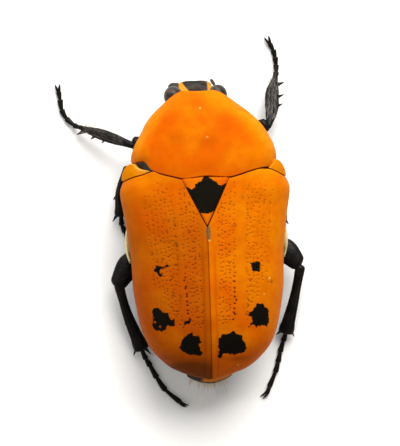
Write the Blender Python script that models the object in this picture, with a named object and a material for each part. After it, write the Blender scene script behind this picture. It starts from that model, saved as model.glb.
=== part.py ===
"""A flower beetle at rest, life size, its wing cases closed and its legs on the floor.

The head points along +Y, the animal's right side is +X and +Z is up. The origin lies on the
floor, on the flat of the breast plate that carries the body. Sizes are in millimetres and
become metres when a mesh is made.
"""

import math

import bmesh
import bpy
import numpy as np
from mathutils import Vector

MM = 0.001
GAP = 0.3
SOCKET = 0.36
SMOOTH_ANGLE = math.radians(40)

# The wing cases: their outer edge in plan, the ridge and side heights along the body
CASE_EDGE = (
    (7.45, 4.9), (7.78, 3.9), (7.45, 1.7), (7.03, -1.6), (6.88, -4.8),
    (6.33, -8.15), (5.41, -10.35), (3.75, -12.0), (1.9, -12.85), (0.6, -13.18),
)
CASE_FRONT = ((0.0, 4.86), (2.0, 4.86), (3.0, 5.06), (4.1, 5.36), (5.0, 5.52), (5.8, 5.44), (7.45, 4.9))
CASE_RIDGE = (
    (-13.3, 5.5), (-12.3, 6.6), (-11.0, 7.65), (-9.0, 8.65), (-7.0, 9.15),
    (-4.0, 9.4), (0.0, 9.4), (3.0, 9.25), (6.0, 9.0),
)
CASE_RIM = ((-13.3, 4.9), (-9.0, 4.9), (-5.0, 5.25), (-1.0, 5.65), (2.5, 5.6), (5.0, 5.75))
CASE_POWER = 2.6
CASE_WALL = 0.55
CASE_CROWN_WALL = 0.75
CASE_SHOULDER_DROP = 0.55
CASE_DROP_SHARE = ((0.0, 0.0), (3.5, 0.0), (6.0, 1.0), (8.0, 1.0))
CASE_BULGES = ((5.5, 3.9, 1.1, 0.22), (3.5, -10.4, 1.2, 0.22))

# The shield between the wing cases
SHIELD_HALF_WIDTH = 2.0
SHIELD_FRONT = 4.86
SHIELD_TIP = 0.87
SHIELD_BLUNT = 0.05
SHIELD_WALL = 0.8

# The pronotum and the ring of the body under it
NOTUM_EDGE = (
    (6.95, 6.55), (7.3, 6.64), (8.4, 6.42), (9.05, 6.12), (10.0, 5.5),
    (11.1, 4.5), (12.15, 3.2), (12.7, 2.5), (13.1, 1.85), (13.25, 1.3),
)
NOTUM_BASE = (
    (-6.6, 7.0), (-5.9, 7.12), (-5.35, 6.8), (-5.1, 6.3), (-4.8, 6.02), (-4.1, 5.71), (-3.0, 5.4),
    (-1.9, 5.15), (0.0, 5.33), (2.1, 5.17), (3.1, 5.38), (4.1, 5.68), (5.2, 5.93), (6.0, 6.02), (6.7, 6.66),
)
NOTUM_CROWN = ((6.9, 9.1), (8.0, 8.9), (10.0, 8.35), (11.5, 7.65), (12.5, 6.95), (13.25, 6.15))
NOTUM_RIM = ((6.9, 5.3), (9.0, 5.1), (11.0, 5.2), (12.5, 5.5), (13.25, 5.85))
NOTUM_UNDER = ((6.9, 2.3), (9.0, 2.4), (10.5, 2.8), (11.4, 3.4), (12.1, 5.1), (12.6, 5.45), (13.25, 5.6))
NOTUM_POWER = 2.3
NOTUM_BEND_FROM = 10.0
LEAN = 0.06
LEAN_FROM = 8.0

# The middle and hind breast, and the belly
BREAST_PLACES = (5.3, 4.9, 4.3, 3.6, 2.9, 2.2, 1.2, 0.0, -0.7, -1.2, -1.7, -2.4, -3.1, -3.8)
BREAST_WIDTH = ((-3.8, 6.0), (-1.5, 6.1), (1.0, 6.55), (3.5, 6.75), (4.6, 6.1), (5.3, 4.9))
BREAST_BELLY = ((-3.8, 1.75), (-1.7, 1.5), (-1.2, -0.15), (2.4, -0.15), (3.8, 0.9), (5.3, 1.9))
BREAST_SLACK = 0.1
BREAST_KEEL = (0.0, 5.2, 0.95)
BREAST_KEEL_SIZE = (1.15, 1.7, 0.72)
BELLY_FRONT = -4.1
BELLY_REAR = -12.6
BELLY_UNDER = ((-12.6, 2.75), (-11.0, 1.9), (-9.0, 1.25), (-6.5, 1.1), (-4.1, 1.6))
BELLY_SEGMENTS = 5
BELLY_STEP = 0.2
TRUNK_WALL = CASE_CROWN_WALL + GAP
TRUNK_SIDE_WALL = CASE_WALL + GAP + 0.05
UNDER_POWER = 2.1
WAIST = 4.4

# The hind plates of the breast that carry the hind legs
HIND_PLATE_INNER = 0.25
HIND_PLATE_OUTER = 5.5
HIND_PLATE_FRONT = -2.02
HIND_PLATE_REAR = -3.8
HIND_PLATE_WALL = 0.85

# The side plates that show beside the wing cases
SHOULDER_FRONT = {
    "left": ((5.5, 5.95), (6.0, 6.2), (6.45, 6.6), (7.04, 6.5), (7.35, 6.1), (7.5, 5.6)),
    "right": ((6.3, 5.85), (6.7, 6.2), (7.08, 6.25), (7.4, 5.8), (7.5, 5.5)),
}
SHOULDER_RIM = 5.2
SHOULDER_CROWN = 8.1
SHOULDER_DEPTH = 1.2
FLANK_FRONT = 0.5
FLANK_REAR = -1.9
FLANK_OUTER = 7.3
FLANK_BOW = 0.14
FLANK_LOW = 3.6
FLANK_HIGH = 5.2

# The tail plate
TAIL_TOP = (-13.25, 4.5, 2.9)
TAIL_MIDDLE = (-13.75, 3.6, 2.4)
TAIL_LOW = (-13.35, 2.5, 1.2)
TAIL_BULGE = 0.35
TAIL_WALL = 0.7
TAIL_SLACK = 0.2

# The head, bent down under the pronotum
HEAD_AT = (-0.5, 12.0, 4.65)
HEAD_DOWN = (0.0, 0.62, -0.785)
HEAD_SHAPE = (
    (0.0, 1.5, 0.7), (0.25, 2.1, 1.0), (0.8, 2.3, 1.15), (1.5, 2.05, 1.0),
    (2.2, 1.65, 0.75), (3.0, 1.55, 0.5), (3.35, 1.4, 0.28),
)
EYE_AT = (2.3, 12.75, 4.3)
EYE_SIZE = (0.78, 0.9, 0.95)

# Cross-sections of the limbs: place along the piece, half width, half thickness
COXA_SHAPE = ((0.0, 0.75, 0.75), (0.3, 0.95, 0.85), (0.75, 0.75, 0.7), (1.0, 0.4, 0.4))
FEMUR_SHAPE = {
    "front": (
        (0.0, 0.3, 0.3), (0.1, 0.5, 0.42), (0.45, 0.78, 0.5),
        (0.8, 0.66, 0.5), (0.95, 0.5, 0.42), (1.0, 0.3, 0.3),
    ),
    "mid": (
        (0.0, 0.3, 0.3), (0.1, 0.5, 0.42), (0.45, 0.8, 0.5),
        (0.8, 0.66, 0.48), (0.95, 0.48, 0.4), (1.0, 0.3, 0.3),
    ),
    "hind": (
        (0.0, 0.35, 0.3), (0.1, 0.7, 0.42), (0.4, 1.2, 0.55),
        (0.7, 1.25, 0.55), (0.9, 0.8, 0.5), (1.0, 0.4, 0.35),
    ),
}
TIBIA_SHAPE = {
    "front": ((0.0, 0.22, 0.22), (0.08, 0.32, 0.3), (0.5, 0.55, 0.3), (0.9, 0.5, 0.28), (1.0, 0.36, 0.25)),
    "mid": ((0.0, 0.25, 0.25), (0.08, 0.36, 0.32), (0.5, 0.42, 0.36), (0.95, 0.55, 0.4), (1.0, 0.42, 0.34)),
    "hind": ((0.0, 0.28, 0.26), (0.08, 0.42, 0.36), (0.5, 0.48, 0.38), (0.95, 0.68, 0.42), (1.0, 0.5, 0.36)),
}
TARSUS_WAIST = 0.235
TARSUS_SWELL = 0.31
TARSUS_HEIGHT = 0.26
TARSUS_AXIS = 0.24
TARSUS_SEGMENTS = 5
CLAW_SHAPE = ((0.0, 0.13, 0.13), (0.5, 0.1, 0.1), (1.0, 0.03, 0.03))
CLAW_TIP_HEIGHT = 0.1
CLAW_ARCH = 0.12
TOOTH_WIDTH = 0.24

# Joint places of each leg: the coxa, the femur and the tibia from root to end, the tarsus
# from its root to its last segment's end, the two claw tips, and the tips of the teeth and
# spurs on the tibia with their places along it
LEGS = {
    "front_left": {
        "coxa": ((-0.95, 9.2, 2.9), (-1.35, 8.8, 2.2), (-1.8, 8.2, 1.2)),
        "femur": ((-1.9, 8.1, 1.25), (-4.1, 8.25, 2.25), (-6.3, 8.75, 3.25)),
        "tibia": ((-6.45, 8.45, 3.2), (-8.9, 9.35, 2.05), (-11.2, 10.3, 0.95)),
        "tarsus": (
            (-11.55, 10.52, 0.6), (-11.8, 10.67, 0.4),
            (-12.47, 11.3), (-12.89, 12.11), (-13.02, 13.05), (-13.12, 13.8),
        ),
        "claws": ((-13.42, 14.5), (-13.02, 14.55)),
        "teeth": ((0.55, (-9.3, 8.85, 1.6)), (0.74, (-10.3, 9.25, 1.25)), (0.95, (-11.6, 9.75, 0.8))),
    },
    "front_right": {
        "coxa": ((0.95, 9.2, 2.9), (1.35, 8.8, 2.2), (1.8, 8.2, 1.2)),
        "femur": ((1.9, 8.1, 1.25), (3.9, 8.9, 2.25), (5.85, 10.0, 3.25)),
        "tibia": ((6.2, 9.8, 3.2), (6.75, 12.0, 2.05), (7.0, 14.15, 0.95)),
        "tarsus": (
            (7.1, 14.55, 0.6), (7.22, 14.94, 0.4),
            (7.23, 15.6), (7.17, 16.31), (7.02, 16.98), (6.74, 17.58),
        ),
        "claws": ((6.25, 18.25), (6.65, 18.4)),
        "teeth": ((0.52, (7.62, 11.95, 1.8)), (0.72, (7.8, 12.85, 1.35)), (0.95, (7.9, 14.1, 0.8))),
    },
    "mid_left": {
        "coxa": ((-1.9, 3.3, 1.7), (-2.4, 3.4, 1.15), (-3.0, 3.6, 0.85)),
        "femur": ((-3.1, 3.7, 0.95), (-5.1, 5.1, 1.9), (-6.8, 6.35, 2.9)),
        "tibia": ((-7.05, 6.4, 2.95), (-7.75, 4.3, 1.95), (-7.76, 2.2, 0.95)),
        "tarsus": (
            (-7.72, 1.62, 0.5), (-7.68, 1.2, 0.35),
            (-7.42, 0.54), (-7.12, -0.22), (-6.92, -0.97), (-6.76, -1.8),
        ),
        "claws": ((-6.75, -2.55), (-6.35, -2.45)),
        "teeth": ((0.62, (-8.42, 3.55, 1.5)), (0.97, (-8.55, 1.5, 0.6)), (0.97, (-7.0, 1.5, 0.6))),
    },
    "mid_right": {
        "coxa": ((1.9, 3.3, 1.7), (2.4, 3.4, 1.15), (3.0, 3.6, 0.85)),
        "femur": ((3.1, 3.7, 0.95), (5.3, 4.4, 1.9), (7.2, 4.95, 2.9)),
        "tibia": ((7.4, 4.75, 2.95), (7.45, 2.9, 1.95), (7.24, 1.25, 0.95)),
        "tarsus": (
            (7.2, 0.68, 0.5), (7.13, 0.3, 0.35),
            (6.93, -0.36), (6.72, -1.01), (6.51, -1.65), (6.29, -2.4),
        ),
        "claws": ((6.2, -3.1), (5.85, -2.95)),
        "teeth": ((0.62, (8.05, 2.35, 1.5)), (0.97, (8.0, 0.6, 0.6)), (0.97, (6.45, 0.65, 0.6))),
    },
    "hind_left": {
        "coxa": ((-1.3, -3.3, 1.2), (-1.8, -3.6, 0.95), (-2.3, -3.85, 0.85)),
        "femur": ((-2.45, -3.9, 0.85), (-4.6, -3.3, 1.85), (-6.6, -3.05, 2.9), (-8.15, -4.15, 3.3)),
        "tibia": ((-8.4, -4.45, 3.2), (-7.65, -7.2, 2.15), (-6.35, -10.3, 0.95)),
        "tarsus": (
            (-6.08, -10.95, 0.5), (-5.9, -11.35, 0.36),
            (-5.51, -12.0), (-4.89, -13.08), (-4.09, -14.1), (-2.85, -15.35),
        ),
        "claws": ((-2.05, -15.8), (-2.3, -16.05)),
        "teeth": ((0.6, (-7.75, -8.1, 1.6)), (0.97, (-7.05, -11.0, 0.5)), (0.97, (-5.4, -10.95, 0.5))),
    },
    "hind_right": {
        "coxa": ((1.3, -3.3, 1.2), (1.8, -3.6, 0.95), (2.3, -3.85, 0.85)),
        "femur": ((2.45, -3.75, 0.85), (4.6, -2.8, 1.85), (6.8, -2.1, 2.9), (8.25, -3.0, 3.3)),
        "tibia": ((8.5, -3.35, 3.2), (7.98, -6.2, 2.15), (7.3, -9.2, 0.95)),
        "tarsus": (
            (7.1, -9.75, 0.6), (6.95, -10.2, 0.4),
            (6.66, -11.13), (6.42, -12.09), (6.14, -12.99), (5.5, -14.4),
        ),
        "claws": ((4.6, -15.25), (4.9, -15.55)),
        "teeth": ((0.6, (8.35, -7.1, 1.6)), (0.97, (8.0, -9.8, 0.5)), (0.97, (6.25, -9.6, 0.5))),
    },
}

FEELERS = {
    "left": {
        "stalk": ((-1.95, 13.45, 3.35), (-2.6, 13.95, 2.9), (-2.65, 14.25, 2.4), (-2.45, 14.3, 1.95)),
        "club": ((-2.45, 14.25, 1.9), (-2.5, 13.95, 0.95)),
    },
    "right": {
        "stalk": ((0.95, 13.45, 3.35), (1.6, 13.95, 3.0), (1.7, 14.2, 2.75), (1.55, 14.4, 2.6)),
        "club": ((1.5, 14.4, 2.6), (1.1, 14.6, 3.5)),
    },
}

STALK_SHAPE = ((0.0, 0.3, 0.3), (0.3, 0.25, 0.25), (1.0, 0.26, 0.26))
LEAF_SHAPE = ((0.0, 0.22, 0.16), (0.4, 0.38, 0.2), (0.8, 0.36, 0.2), (1.0, 0.15, 0.12))
LEAF_SPACING = 0.3
LEAF_ROOT_SPREAD = 0.4

# The chin plate and the pair of palps, as places from the head's mid-line
CHIN_PATH = ((0.0, 11.9, 2.15), (0.0, 12.5, 1.5), (0.0, 13.1, 1.05))
CHIN_SHAPE = ((0.0, 0.6, 0.3), (0.5, 0.8, 0.35), (1.0, 0.5, 0.25))
PALP_PATH = ((0.4, 12.7, 1.35), (0.75, 13.3, 0.95), (0.7, 13.95, 0.8))
PALP_SHAPE = ((0.0, 0.24, 0.24), (0.7, 0.27, 0.25), (1.0, 0.16, 0.16))

FINISHES = {
    "orange_shell": ((0.82, 0.22, 0.012), 0.38),
    "black_shell": ((0.012, 0.011, 0.012), 0.25),
    "pale_plate": ((0.75, 0.58, 0.25), 0.5),
    "eye": ((0.05, 0.03, 0.04), 0.3),
}


def smooth(points, at):
    """Value at one place on the smooth curve through (place, value) points with rising places."""
    places = [point[0] for point in points]
    values = [point[1] for point in points]
    at = min(max(at, places[0]), places[-1])
    last = len(points) - 2
    k = min(int(np.searchsorted(places, at, side="right")) - 1, last)
    rises = [(values[i + 1] - values[i]) / (places[i + 1] - places[i]) for i in range(last + 1)]

    def slope(i):
        if i in (0, last + 1):
            return rises[min(i, last)]
        before, after = rises[i - 1], rises[i]
        return 2 * before * after / (before + after) if before * after > 0 else 0.0

    width = places[k + 1] - places[k]
    t = (at - places[k]) / width
    start = (1 + 2 * t) * (1 - t) ** 2 * values[k] + t * (1 - t) ** 2 * width * slope(k)
    return start + t * t * (3 - 2 * t) * values[k + 1] + t * t * (t - 1) * width * slope(k + 1)


def along(points, t):
    """Point at share t of a smooth curve through points, each stretch an equal share."""
    points = [Vector(point) for point in points]
    place = min(max(t, 0.0), 1.0) * (len(points) - 1)
    k = min(int(place), len(points) - 2)
    t = place - k
    a = points[k - 1] if k else 2 * points[0] - points[1]
    b, c = points[k], points[k + 1]
    d = points[k + 2] if k + 2 < len(points) else 2 * c - b
    return 0.5 * (2 * b + (c - a) * t + (2 * a - 5 * b + 4 * c - d) * t * t + (3 * b - a - 3 * c + d) * t**3)


def direction(points, t):
    """Unit direction of the smooth curve at share t."""
    return (along(points, min(t + 0.01, 1.0)) - along(points, max(t - 0.01, 0.0))).normalized()


def rounded(share, power):
    """Height share of a rounded arch at a share of its half width."""
    return max(0.0, 1.0 - min(abs(share), 1.0) ** power) ** (1.0 / power)


def mesh_object(name, points, faces):
    """New object with outward faces from points in millimetres."""
    mesh = bpy.data.meshes.new(name)
    mesh.from_pydata([Vector(point) * MM for point in points], [], faces)
    build = bmesh.new()
    build.from_mesh(mesh)
    bmesh.ops.recalc_face_normals(build, faces=build.faces)
    build.to_mesh(mesh)
    build.free()
    made = bpy.data.objects.new(name, mesh)
    bpy.context.scene.collection.objects.link(made)
    return made


def split_grid(rows, columns, first, flip):
    """Triangles of a grid of points, split the same way on every sheet."""
    faces = []
    for i in range(rows - 1):
        for j in range(columns - 1):
            a = first + i * columns + j
            b, c, d = a + 1, a + columns + 1, a + columns
            pair = ((a, b, c), (a, c, d))
            faces += [face[::-1] for face in pair] if flip else list(pair)
    return faces


def shell(name, outer, inner):
    """Closed wall between two grids of points of one size."""
    rows, columns = len(outer), len(outer[0])
    count = rows * columns
    points = [point for row in outer for point in row] + [point for row in inner for point in row]
    faces = split_grid(rows, columns, 0, False) + split_grid(rows, columns, count, True)
    border = [(0, j) for j in range(columns)] + [(i, columns - 1) for i in range(1, rows)]
    border += [(rows - 1, j) for j in range(columns - 2, -1, -1)] + [(i, 0) for i in range(rows - 2, 0, -1)]
    ring = [i * columns + j for i, j in border]
    for a, b in zip(ring, ring[1:] + ring[:1]):
        faces += [(a, b + count, b), (a, a + count, b + count)]
    return mesh_object(name, points, faces)


def loft(name, rings):
    """Closed body through rings of equal count, with a fan over each end."""
    count = len(rings[0])
    points = [point for ring in rings for point in ring]
    faces = []
    for k in range(len(rings) - 1):
        for j in range(count):
            a, b = k * count + j, k * count + (j + 1) % count
            faces += [(a, b, b + count), (a, b + count, a + count)]
    for k in (0, len(rings) - 1):
        middle = sum((Vector(point) for point in rings[k]), Vector()) / count
        points.append(middle)
        faces += [(k * count + j, k * count + (j + 1) % count, len(points) - 1) for j in range(count)]
    return mesh_object(name, points, faces)


def limb(name, path, shape, up=(0, 0, 1), rings=9, sides=8, grow=0.0, floor=True):
    """Smooth tapering piece along a path, flattened at right angles to up and cut flat at the floor."""
    made = []
    for k in range(rings):
        t = k / (rings - 1)
        centre = along(path, t)
        heading = direction(path, t)
        if grow and k in (0, rings - 1):
            centre += heading * (grow if k else -grow)
        across = heading.cross(Vector(up)).normalized()
        over = across.cross(heading)
        wide = smooth([(s[0], s[1]) for s in shape], t) + grow
        thick = smooth([(s[0], s[2]) for s in shape], t) + grow
        ring = []
        for j in range(sides):
            turn = math.tau * (j + 0.5) / sides
            point = centre + across * wide * math.cos(turn) + over * thick * math.sin(turn)
            ring.append((point.x, point.y, max(point.z, 0.0) if floor else point.z))
        made.append(ring)
    return loft(name, made)


def ball(name, centre, size, grow=0.0, segments=14, rings=9):
    """Ellipsoid about a centre."""
    build = bmesh.new()
    bmesh.ops.create_uvsphere(build, u_segments=segments, v_segments=rings, radius=1.0)
    mesh = bpy.data.meshes.new(name)
    for vertex in build.verts:
        spot = [centre[i] + vertex.co[i] * (size[i] + grow) for i in range(3)]
        vertex.co = Vector(spot) * MM
    build.to_mesh(mesh)
    build.free()
    made = bpy.data.objects.new(name, mesh)
    bpy.context.scene.collection.objects.link(made)
    return made


def thorn(name, root, tip, width, sides=5):
    """Pointed cone from a root to a tip."""
    heading = (Vector(tip) - Vector(root)).normalized()
    across = heading.orthogonal().normalized()
    over = heading.cross(across)
    ring = []
    for j in range(sides):
        turn = math.tau * j / sides
        ring.append(Vector(root) + (across * math.cos(turn) + over * math.sin(turn)) * width)
    points = [*ring, Vector(root) - heading * width * 0.3, Vector(tip)]
    faces = [(j, (j + 1) % sides, sides + 1) for j in range(sides)]
    faces += [((j + 1) % sides, j, sides) for j in range(sides)]
    return mesh_object(name, points, faces)


def island_area(island):
    """Area of the faces that a set of vertices carries."""
    return sum(face.calc_area() for face in {face for vertex in island for face in vertex.link_faces})


def keep_largest(made):
    """Leaves the closed surface with the most area in an object's mesh."""
    build = bmesh.new()
    build.from_mesh(made.data)
    left = set(build.verts)
    islands = []
    while left:
        island, edge = set(), [left.pop()]
        while edge:
            vertex = edge.pop()
            island.add(vertex)
            near = {e.other_vert(vertex) for e in vertex.link_edges} & left
            left -= near
            edge += list(near)
        islands.append(island)
    best = max(islands, key=island_area)
    bmesh.ops.delete(build, geom=[v for v in build.verts if v not in best], context="VERTS")
    build.to_mesh(made.data)
    build.free()


def apply_boolean(made, others, operation, solver="EXACT"):
    """Joins or cuts an object with others in one Boolean, then removes the others."""
    group = bpy.data.collections.new("boolean_group")
    bpy.context.scene.collection.children.link(group)
    for other in others:
        group.objects.link(other)
    modifier = made.modifiers.new("boolean", "BOOLEAN")
    modifier.operation = operation
    modifier.operand_type = "COLLECTION"
    modifier.solver = solver
    modifier.collection = group
    bpy.context.view_layer.update()
    graph = bpy.context.evaluated_depsgraph_get()
    result = bpy.data.meshes.new_from_object(made.evaluated_get(graph))
    made.modifiers.remove(modifier)
    made.data = result
    for other in others:
        bpy.data.objects.remove(other)
    bpy.data.collections.remove(group)
    keep_largest(made)
    return made


def fuse(pieces, solver="EXACT"):
    """One closed body from overlapping ones, under the first one's name."""
    return apply_boolean(pieces[0], pieces[1:], "UNION", solver)


def carve(made, cutters):
    """Body with clearance cut for its neighbours."""
    return apply_boolean(made, cutters, "DIFFERENCE")


def lean(y):
    """Sideways place of the mid-line, which leans to the left toward the head."""
    return -LEAN * max(0.0, y - LEAN_FROM)


def case_bulge(x, y):
    """Height of the shoulder and tail bulges on a wing case."""
    return sum(
        high * math.exp(-((abs(x) - at_x) ** 2 + (y - at_y) ** 2) / reach**2)
        for at_x, at_y, reach, high in CASE_BULGES
    )


def case_rows(rows, columns, wall, crown_wall):
    """Grid of points on the right wing case, from its front edge to its tip, suture to rim."""
    grid = []
    for i in range(rows):
        t = i / (rows - 1)
        edge = along(CASE_EDGE, t)
        heading = direction(CASE_EDGE, t)
        plan = edge - Vector((-heading.y, heading.x)) * wall
        ridge = smooth(CASE_RIDGE, edge.y) - crown_wall
        rim = smooth(CASE_RIM, edge.y)
        shield = (plan.y - SHIELD_TIP) * SHIELD_HALF_WIDTH / (SHIELD_FRONT - SHIELD_TIP)
        suture = max(GAP / 2, shield + GAP * 1.15)
        start = math.asin(min(1.0, (suture / plan.x) ** (CASE_POWER / 2)))
        fade = max(0.0, 1.0 - t * 3.0) ** 2
        row = []
        for j in range(columns):
            turn = start + (math.pi / 2 - start) * j / (columns - 1)
            x = plan.x * math.sin(turn) ** (2 / CASE_POWER)
            share = max(0.0, math.cos(turn)) ** (2 / CASE_POWER)
            y = plan.y + (smooth(CASE_FRONT, x) - CASE_EDGE[0][1]) * fade
            drop = CASE_SHOULDER_DROP * fade * smooth(CASE_DROP_SHARE, x)
            high = rim + (ridge - rim + case_bulge(x, y) - drop) * share
            row.append(Vector((x, y, high)))
        grid.append(row)
    return grid


def mirrored(grid):
    """Grid of points on the other side of the body."""
    return [[Vector((-point.x, point.y, point.z)) for point in row] for row in grid]


def wing_cases():
    """The two wing cases as curved shells that meet along the suture."""
    outer = case_rows(20, 9, 0.0, 0.0)
    inner = case_rows(20, 9, CASE_WALL, CASE_CROWN_WALL)
    shell("elytron_right", outer, inner)
    shell("elytron_left", mirrored(outer), mirrored(inner))


def crown_height(x, y):
    """Height of the wing cases' outer surface near the middle of the back."""
    edge = smooth(BREAST_WIDTH, y) + TRUNK_SIDE_WALL
    rim = smooth(CASE_RIM, y)
    return rim + (smooth(CASE_RIDGE, y) - rim) * rounded(x / edge, CASE_POWER)


def shield():
    """The triangular scutellum between the fronts of the wing cases."""
    rows, columns = 6, 7
    outer = []
    for i in range(rows):
        y = SHIELD_FRONT + (SHIELD_TIP - SHIELD_FRONT) * i / (rows - 1) * 0.95
        half = SHIELD_HALF_WIDTH * (y - SHIELD_TIP) / (SHIELD_FRONT - SHIELD_TIP) + SHIELD_BLUNT * i / rows
        row = []
        for j in range(columns):
            x = half * (2 * j / (columns - 1) - 1)
            row.append(Vector((x, y, crown_height(x, y))))
        outer.append(row)
    inner = [[point - Vector((0, 0, SHIELD_WALL)) for point in row] for row in outer]
    shell("scutellum", outer, inner)


def trunk_ring(y, half, crown, under, sides, power=CASE_POWER):
    """Closed cross-section of the trunk, rounded above and below its widest line."""
    ring = []
    for j in range(sides):
        turn = math.tau * j / sides
        over = math.sin(turn)
        x = half * math.copysign(abs(math.cos(turn)) ** (2 / power), math.cos(turn))
        if over >= 0:
            z = WAIST + (crown - WAIST) * over ** (2 / power)
        else:
            z = WAIST - (WAIST - under) * rounded(x / half, UNDER_POWER)
        ring.append(Vector((x, y, max(z, 0.0))))
    return ring


def breast():
    """Middle and hind breast, with the keel between the middle legs and the flat it rests on."""
    rings = []
    for k, y in enumerate(BREAST_PLACES):
        crown = smooth(CASE_RIDGE, y) - TRUNK_WALL - 0.05
        ring = trunk_ring(y, smooth(BREAST_WIDTH, y), crown, smooth(BREAST_BELLY, y), 26)
        fade = max(0.0, 1.0 - k / 5)
        for point in ring:
            point.y += (smooth(CASE_FRONT, abs(point.x)) - BREAST_PLACES[0] - BREAST_SLACK) * fade
        rings.append(ring)
    return fuse([loft("thorax", rings), ball("keel", BREAST_KEEL, BREAST_KEEL_SIZE)])


def belly_half(y):
    """Half width of the belly's rear part under the wing cases."""
    edge = [(-point[1], point[0]) for point in CASE_EDGE]
    return smooth(edge, -y) - TRUNK_SIDE_WALL


def tail_face(x, z):
    """Place along the body of the tail plate's inner face at a side place and a height."""
    t = min(max((TAIL_TOP[1] - z) / (TAIL_TOP[1] - TAIL_LOW[1]), 0.0), 1.0)
    y, _, half = along((TAIL_TOP, TAIL_MIDDLE, TAIL_LOW), t)
    return y + 2 * TAIL_BULGE * min(abs(x) / half, 1.2) ** 2 + TAIL_WALL


def belly():
    """Belly with a low step at each of its plates, ending on the tail plate."""
    rings = []
    count = 3 * BELLY_SEGMENTS
    for k in range(count + 1):
        y = BELLY_FRONT + (BELLY_REAR - BELLY_FRONT) * k / count
        behind = TRUNK_SIDE_WALL * min(1.0, k / 5)
        crown = max(smooth(CASE_RIDGE, y - behind) - TRUNK_WALL - 0.15, WAIST + 0.08)
        step = BELLY_STEP * ((k % 3) / 2)
        ring = trunk_ring(y, belly_half(y) - 0.1 * step, crown, smooth(BELLY_UNDER, y) - step, 26)
        fade = max(0.0, 1.0 - (count - k) / 4)
        for point in ring:
            point.y += (tail_face(point.x, point.z) + SOCKET + TAIL_SLACK - BELLY_REAR) * fade
        rings.append(ring)
    return loft("abdomen", rings)


def tail():
    """Convex plate that closes the body behind the wing cases."""
    rows, columns = 6, 9
    outer, inner = [], []
    for i in range(rows):
        t = i / (rows - 1)
        y, z, half = along((TAIL_TOP, TAIL_MIDDLE, TAIL_LOW), t)
        row = []
        for j in range(columns):
            share = 2 * j / (columns - 1) - 1
            row.append(Vector((half * share, y + TAIL_BULGE * 2 * share * share, z)))
        outer.append(row)
        inner.append([point + Vector((0, TAIL_WALL, 0.1)) for point in row])
    return shell("pygidium", outer, inner)


def notum_ring(y, sides):
    """Cross-section of the front breast ring at a place along its leaning mid-line."""
    half = smooth(NOTUM_EDGE, y)
    rim, crown, under = smooth(NOTUM_RIM, y), smooth(NOTUM_CROWN, y), smooth(NOTUM_UNDER, y)
    base = NOTUM_EDGE[0][0]
    fade = max(0.0, (NOTUM_BEND_FROM - y) / (NOTUM_BEND_FROM - base)) ** 1.5
    ring = []
    for j in range(sides):
        turn = math.tau * j / sides
        over = math.sin(turn)
        x = half * math.copysign(abs(math.cos(turn)) ** (2 / NOTUM_POWER), math.cos(turn))
        high = crown - rim if over >= 0 else under - rim
        z = rim + high * rounded(x / half, NOTUM_POWER if over >= 0 else UNDER_POWER)
        shift = (smooth(NOTUM_BASE, x) - base) * fade
        ring.append(Vector((x + lean(y), y + shift, z)))
    return ring


def front_breast():
    """Pronotum and the ring of the body under it."""
    count = 14
    first, last = NOTUM_EDGE[0][0], NOTUM_EDGE[-1][0]
    rings = [notum_ring(first + (last - first) * k / (count - 1), 26) for k in range(count)]
    return loft("prothorax", rings)


def head_points(name, grow=0.0):
    """Head capsule from the vertex to the front edge of the mouth shield."""
    down = Vector(HEAD_DOWN).normalized()
    face = Vector((1, 0, 0)).cross(down)
    face = -face if face.y < 0 else face
    length = HEAD_SHAPE[-1][0]
    rings = []
    for k in range(11):
        place = length * k / 10
        centre = Vector(HEAD_AT) + down * place
        wide = smooth([(s[0], s[1]) for s in HEAD_SHAPE], place) + grow
        thick = smooth([(s[0], s[2]) for s in HEAD_SHAPE], place) + grow
        if grow and k in (0, 10):
            centre += down * (grow if k else -grow)
        ring = []
        for j in range(20):
            turn = math.tau * j / 20
            across = math.copysign(abs(math.cos(turn)) ** 0.8, math.cos(turn))
            ring.append(centre + Vector((wide * across, 0, 0)) + face * thick * math.sin(turn))
        rings.append(ring)
    return loft(name, rings)


def eye(side, grow=0.0):
    """One eye, on the side of the head."""
    turn = 1 if side == "right" else -1
    centre = (HEAD_AT[0] + turn * EYE_AT[0], EYE_AT[1], EYE_AT[2])
    return ball(f"eye_{side}", centre, EYE_SIZE, grow)


def stalk(side, grow=0.0):
    """Stem of an antenna."""
    return limb(f"antenna_{side}", FEELERS[side]["stalk"], STALK_SHAPE, rings=7, sides=6, grow=grow)


def feeler(side):
    """Antenna: a stem and a club of three leaves laid side by side."""
    root, tip = (Vector(point) for point in FEELERS[side]["club"])
    stack = (tip - root).cross(Vector((0, 1, 0))).normalized()
    leaves = []
    for k in (-1, 0, 1):
        step = stack * LEAF_SPACING * k
        path = (root + step * LEAF_ROOT_SPREAD, (root + tip) / 2 + step, tip + step)
        leaves.append(limb(f"leaf_{k}", path, LEAF_SHAPE, up=stack, rings=5, sides=6))
    return fuse([stalk(side), *leaves], solver="MANIFOLD")


def mouth():
    """Chin plate with its two pairs of palps, under the head."""
    middle = Vector((HEAD_AT[0], 0, 0))
    pieces = [limb("mouthparts", [middle + Vector(point) for point in CHIN_PATH], CHIN_SHAPE, rings=6)]
    for turn in (-1, 1):
        path = [middle + Vector((x * turn, y, z)) for x, y, z in PALP_PATH]
        pieces.append(limb("palp", path, PALP_SHAPE, rings=5, sides=6))
    return fuse(pieces)


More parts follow.
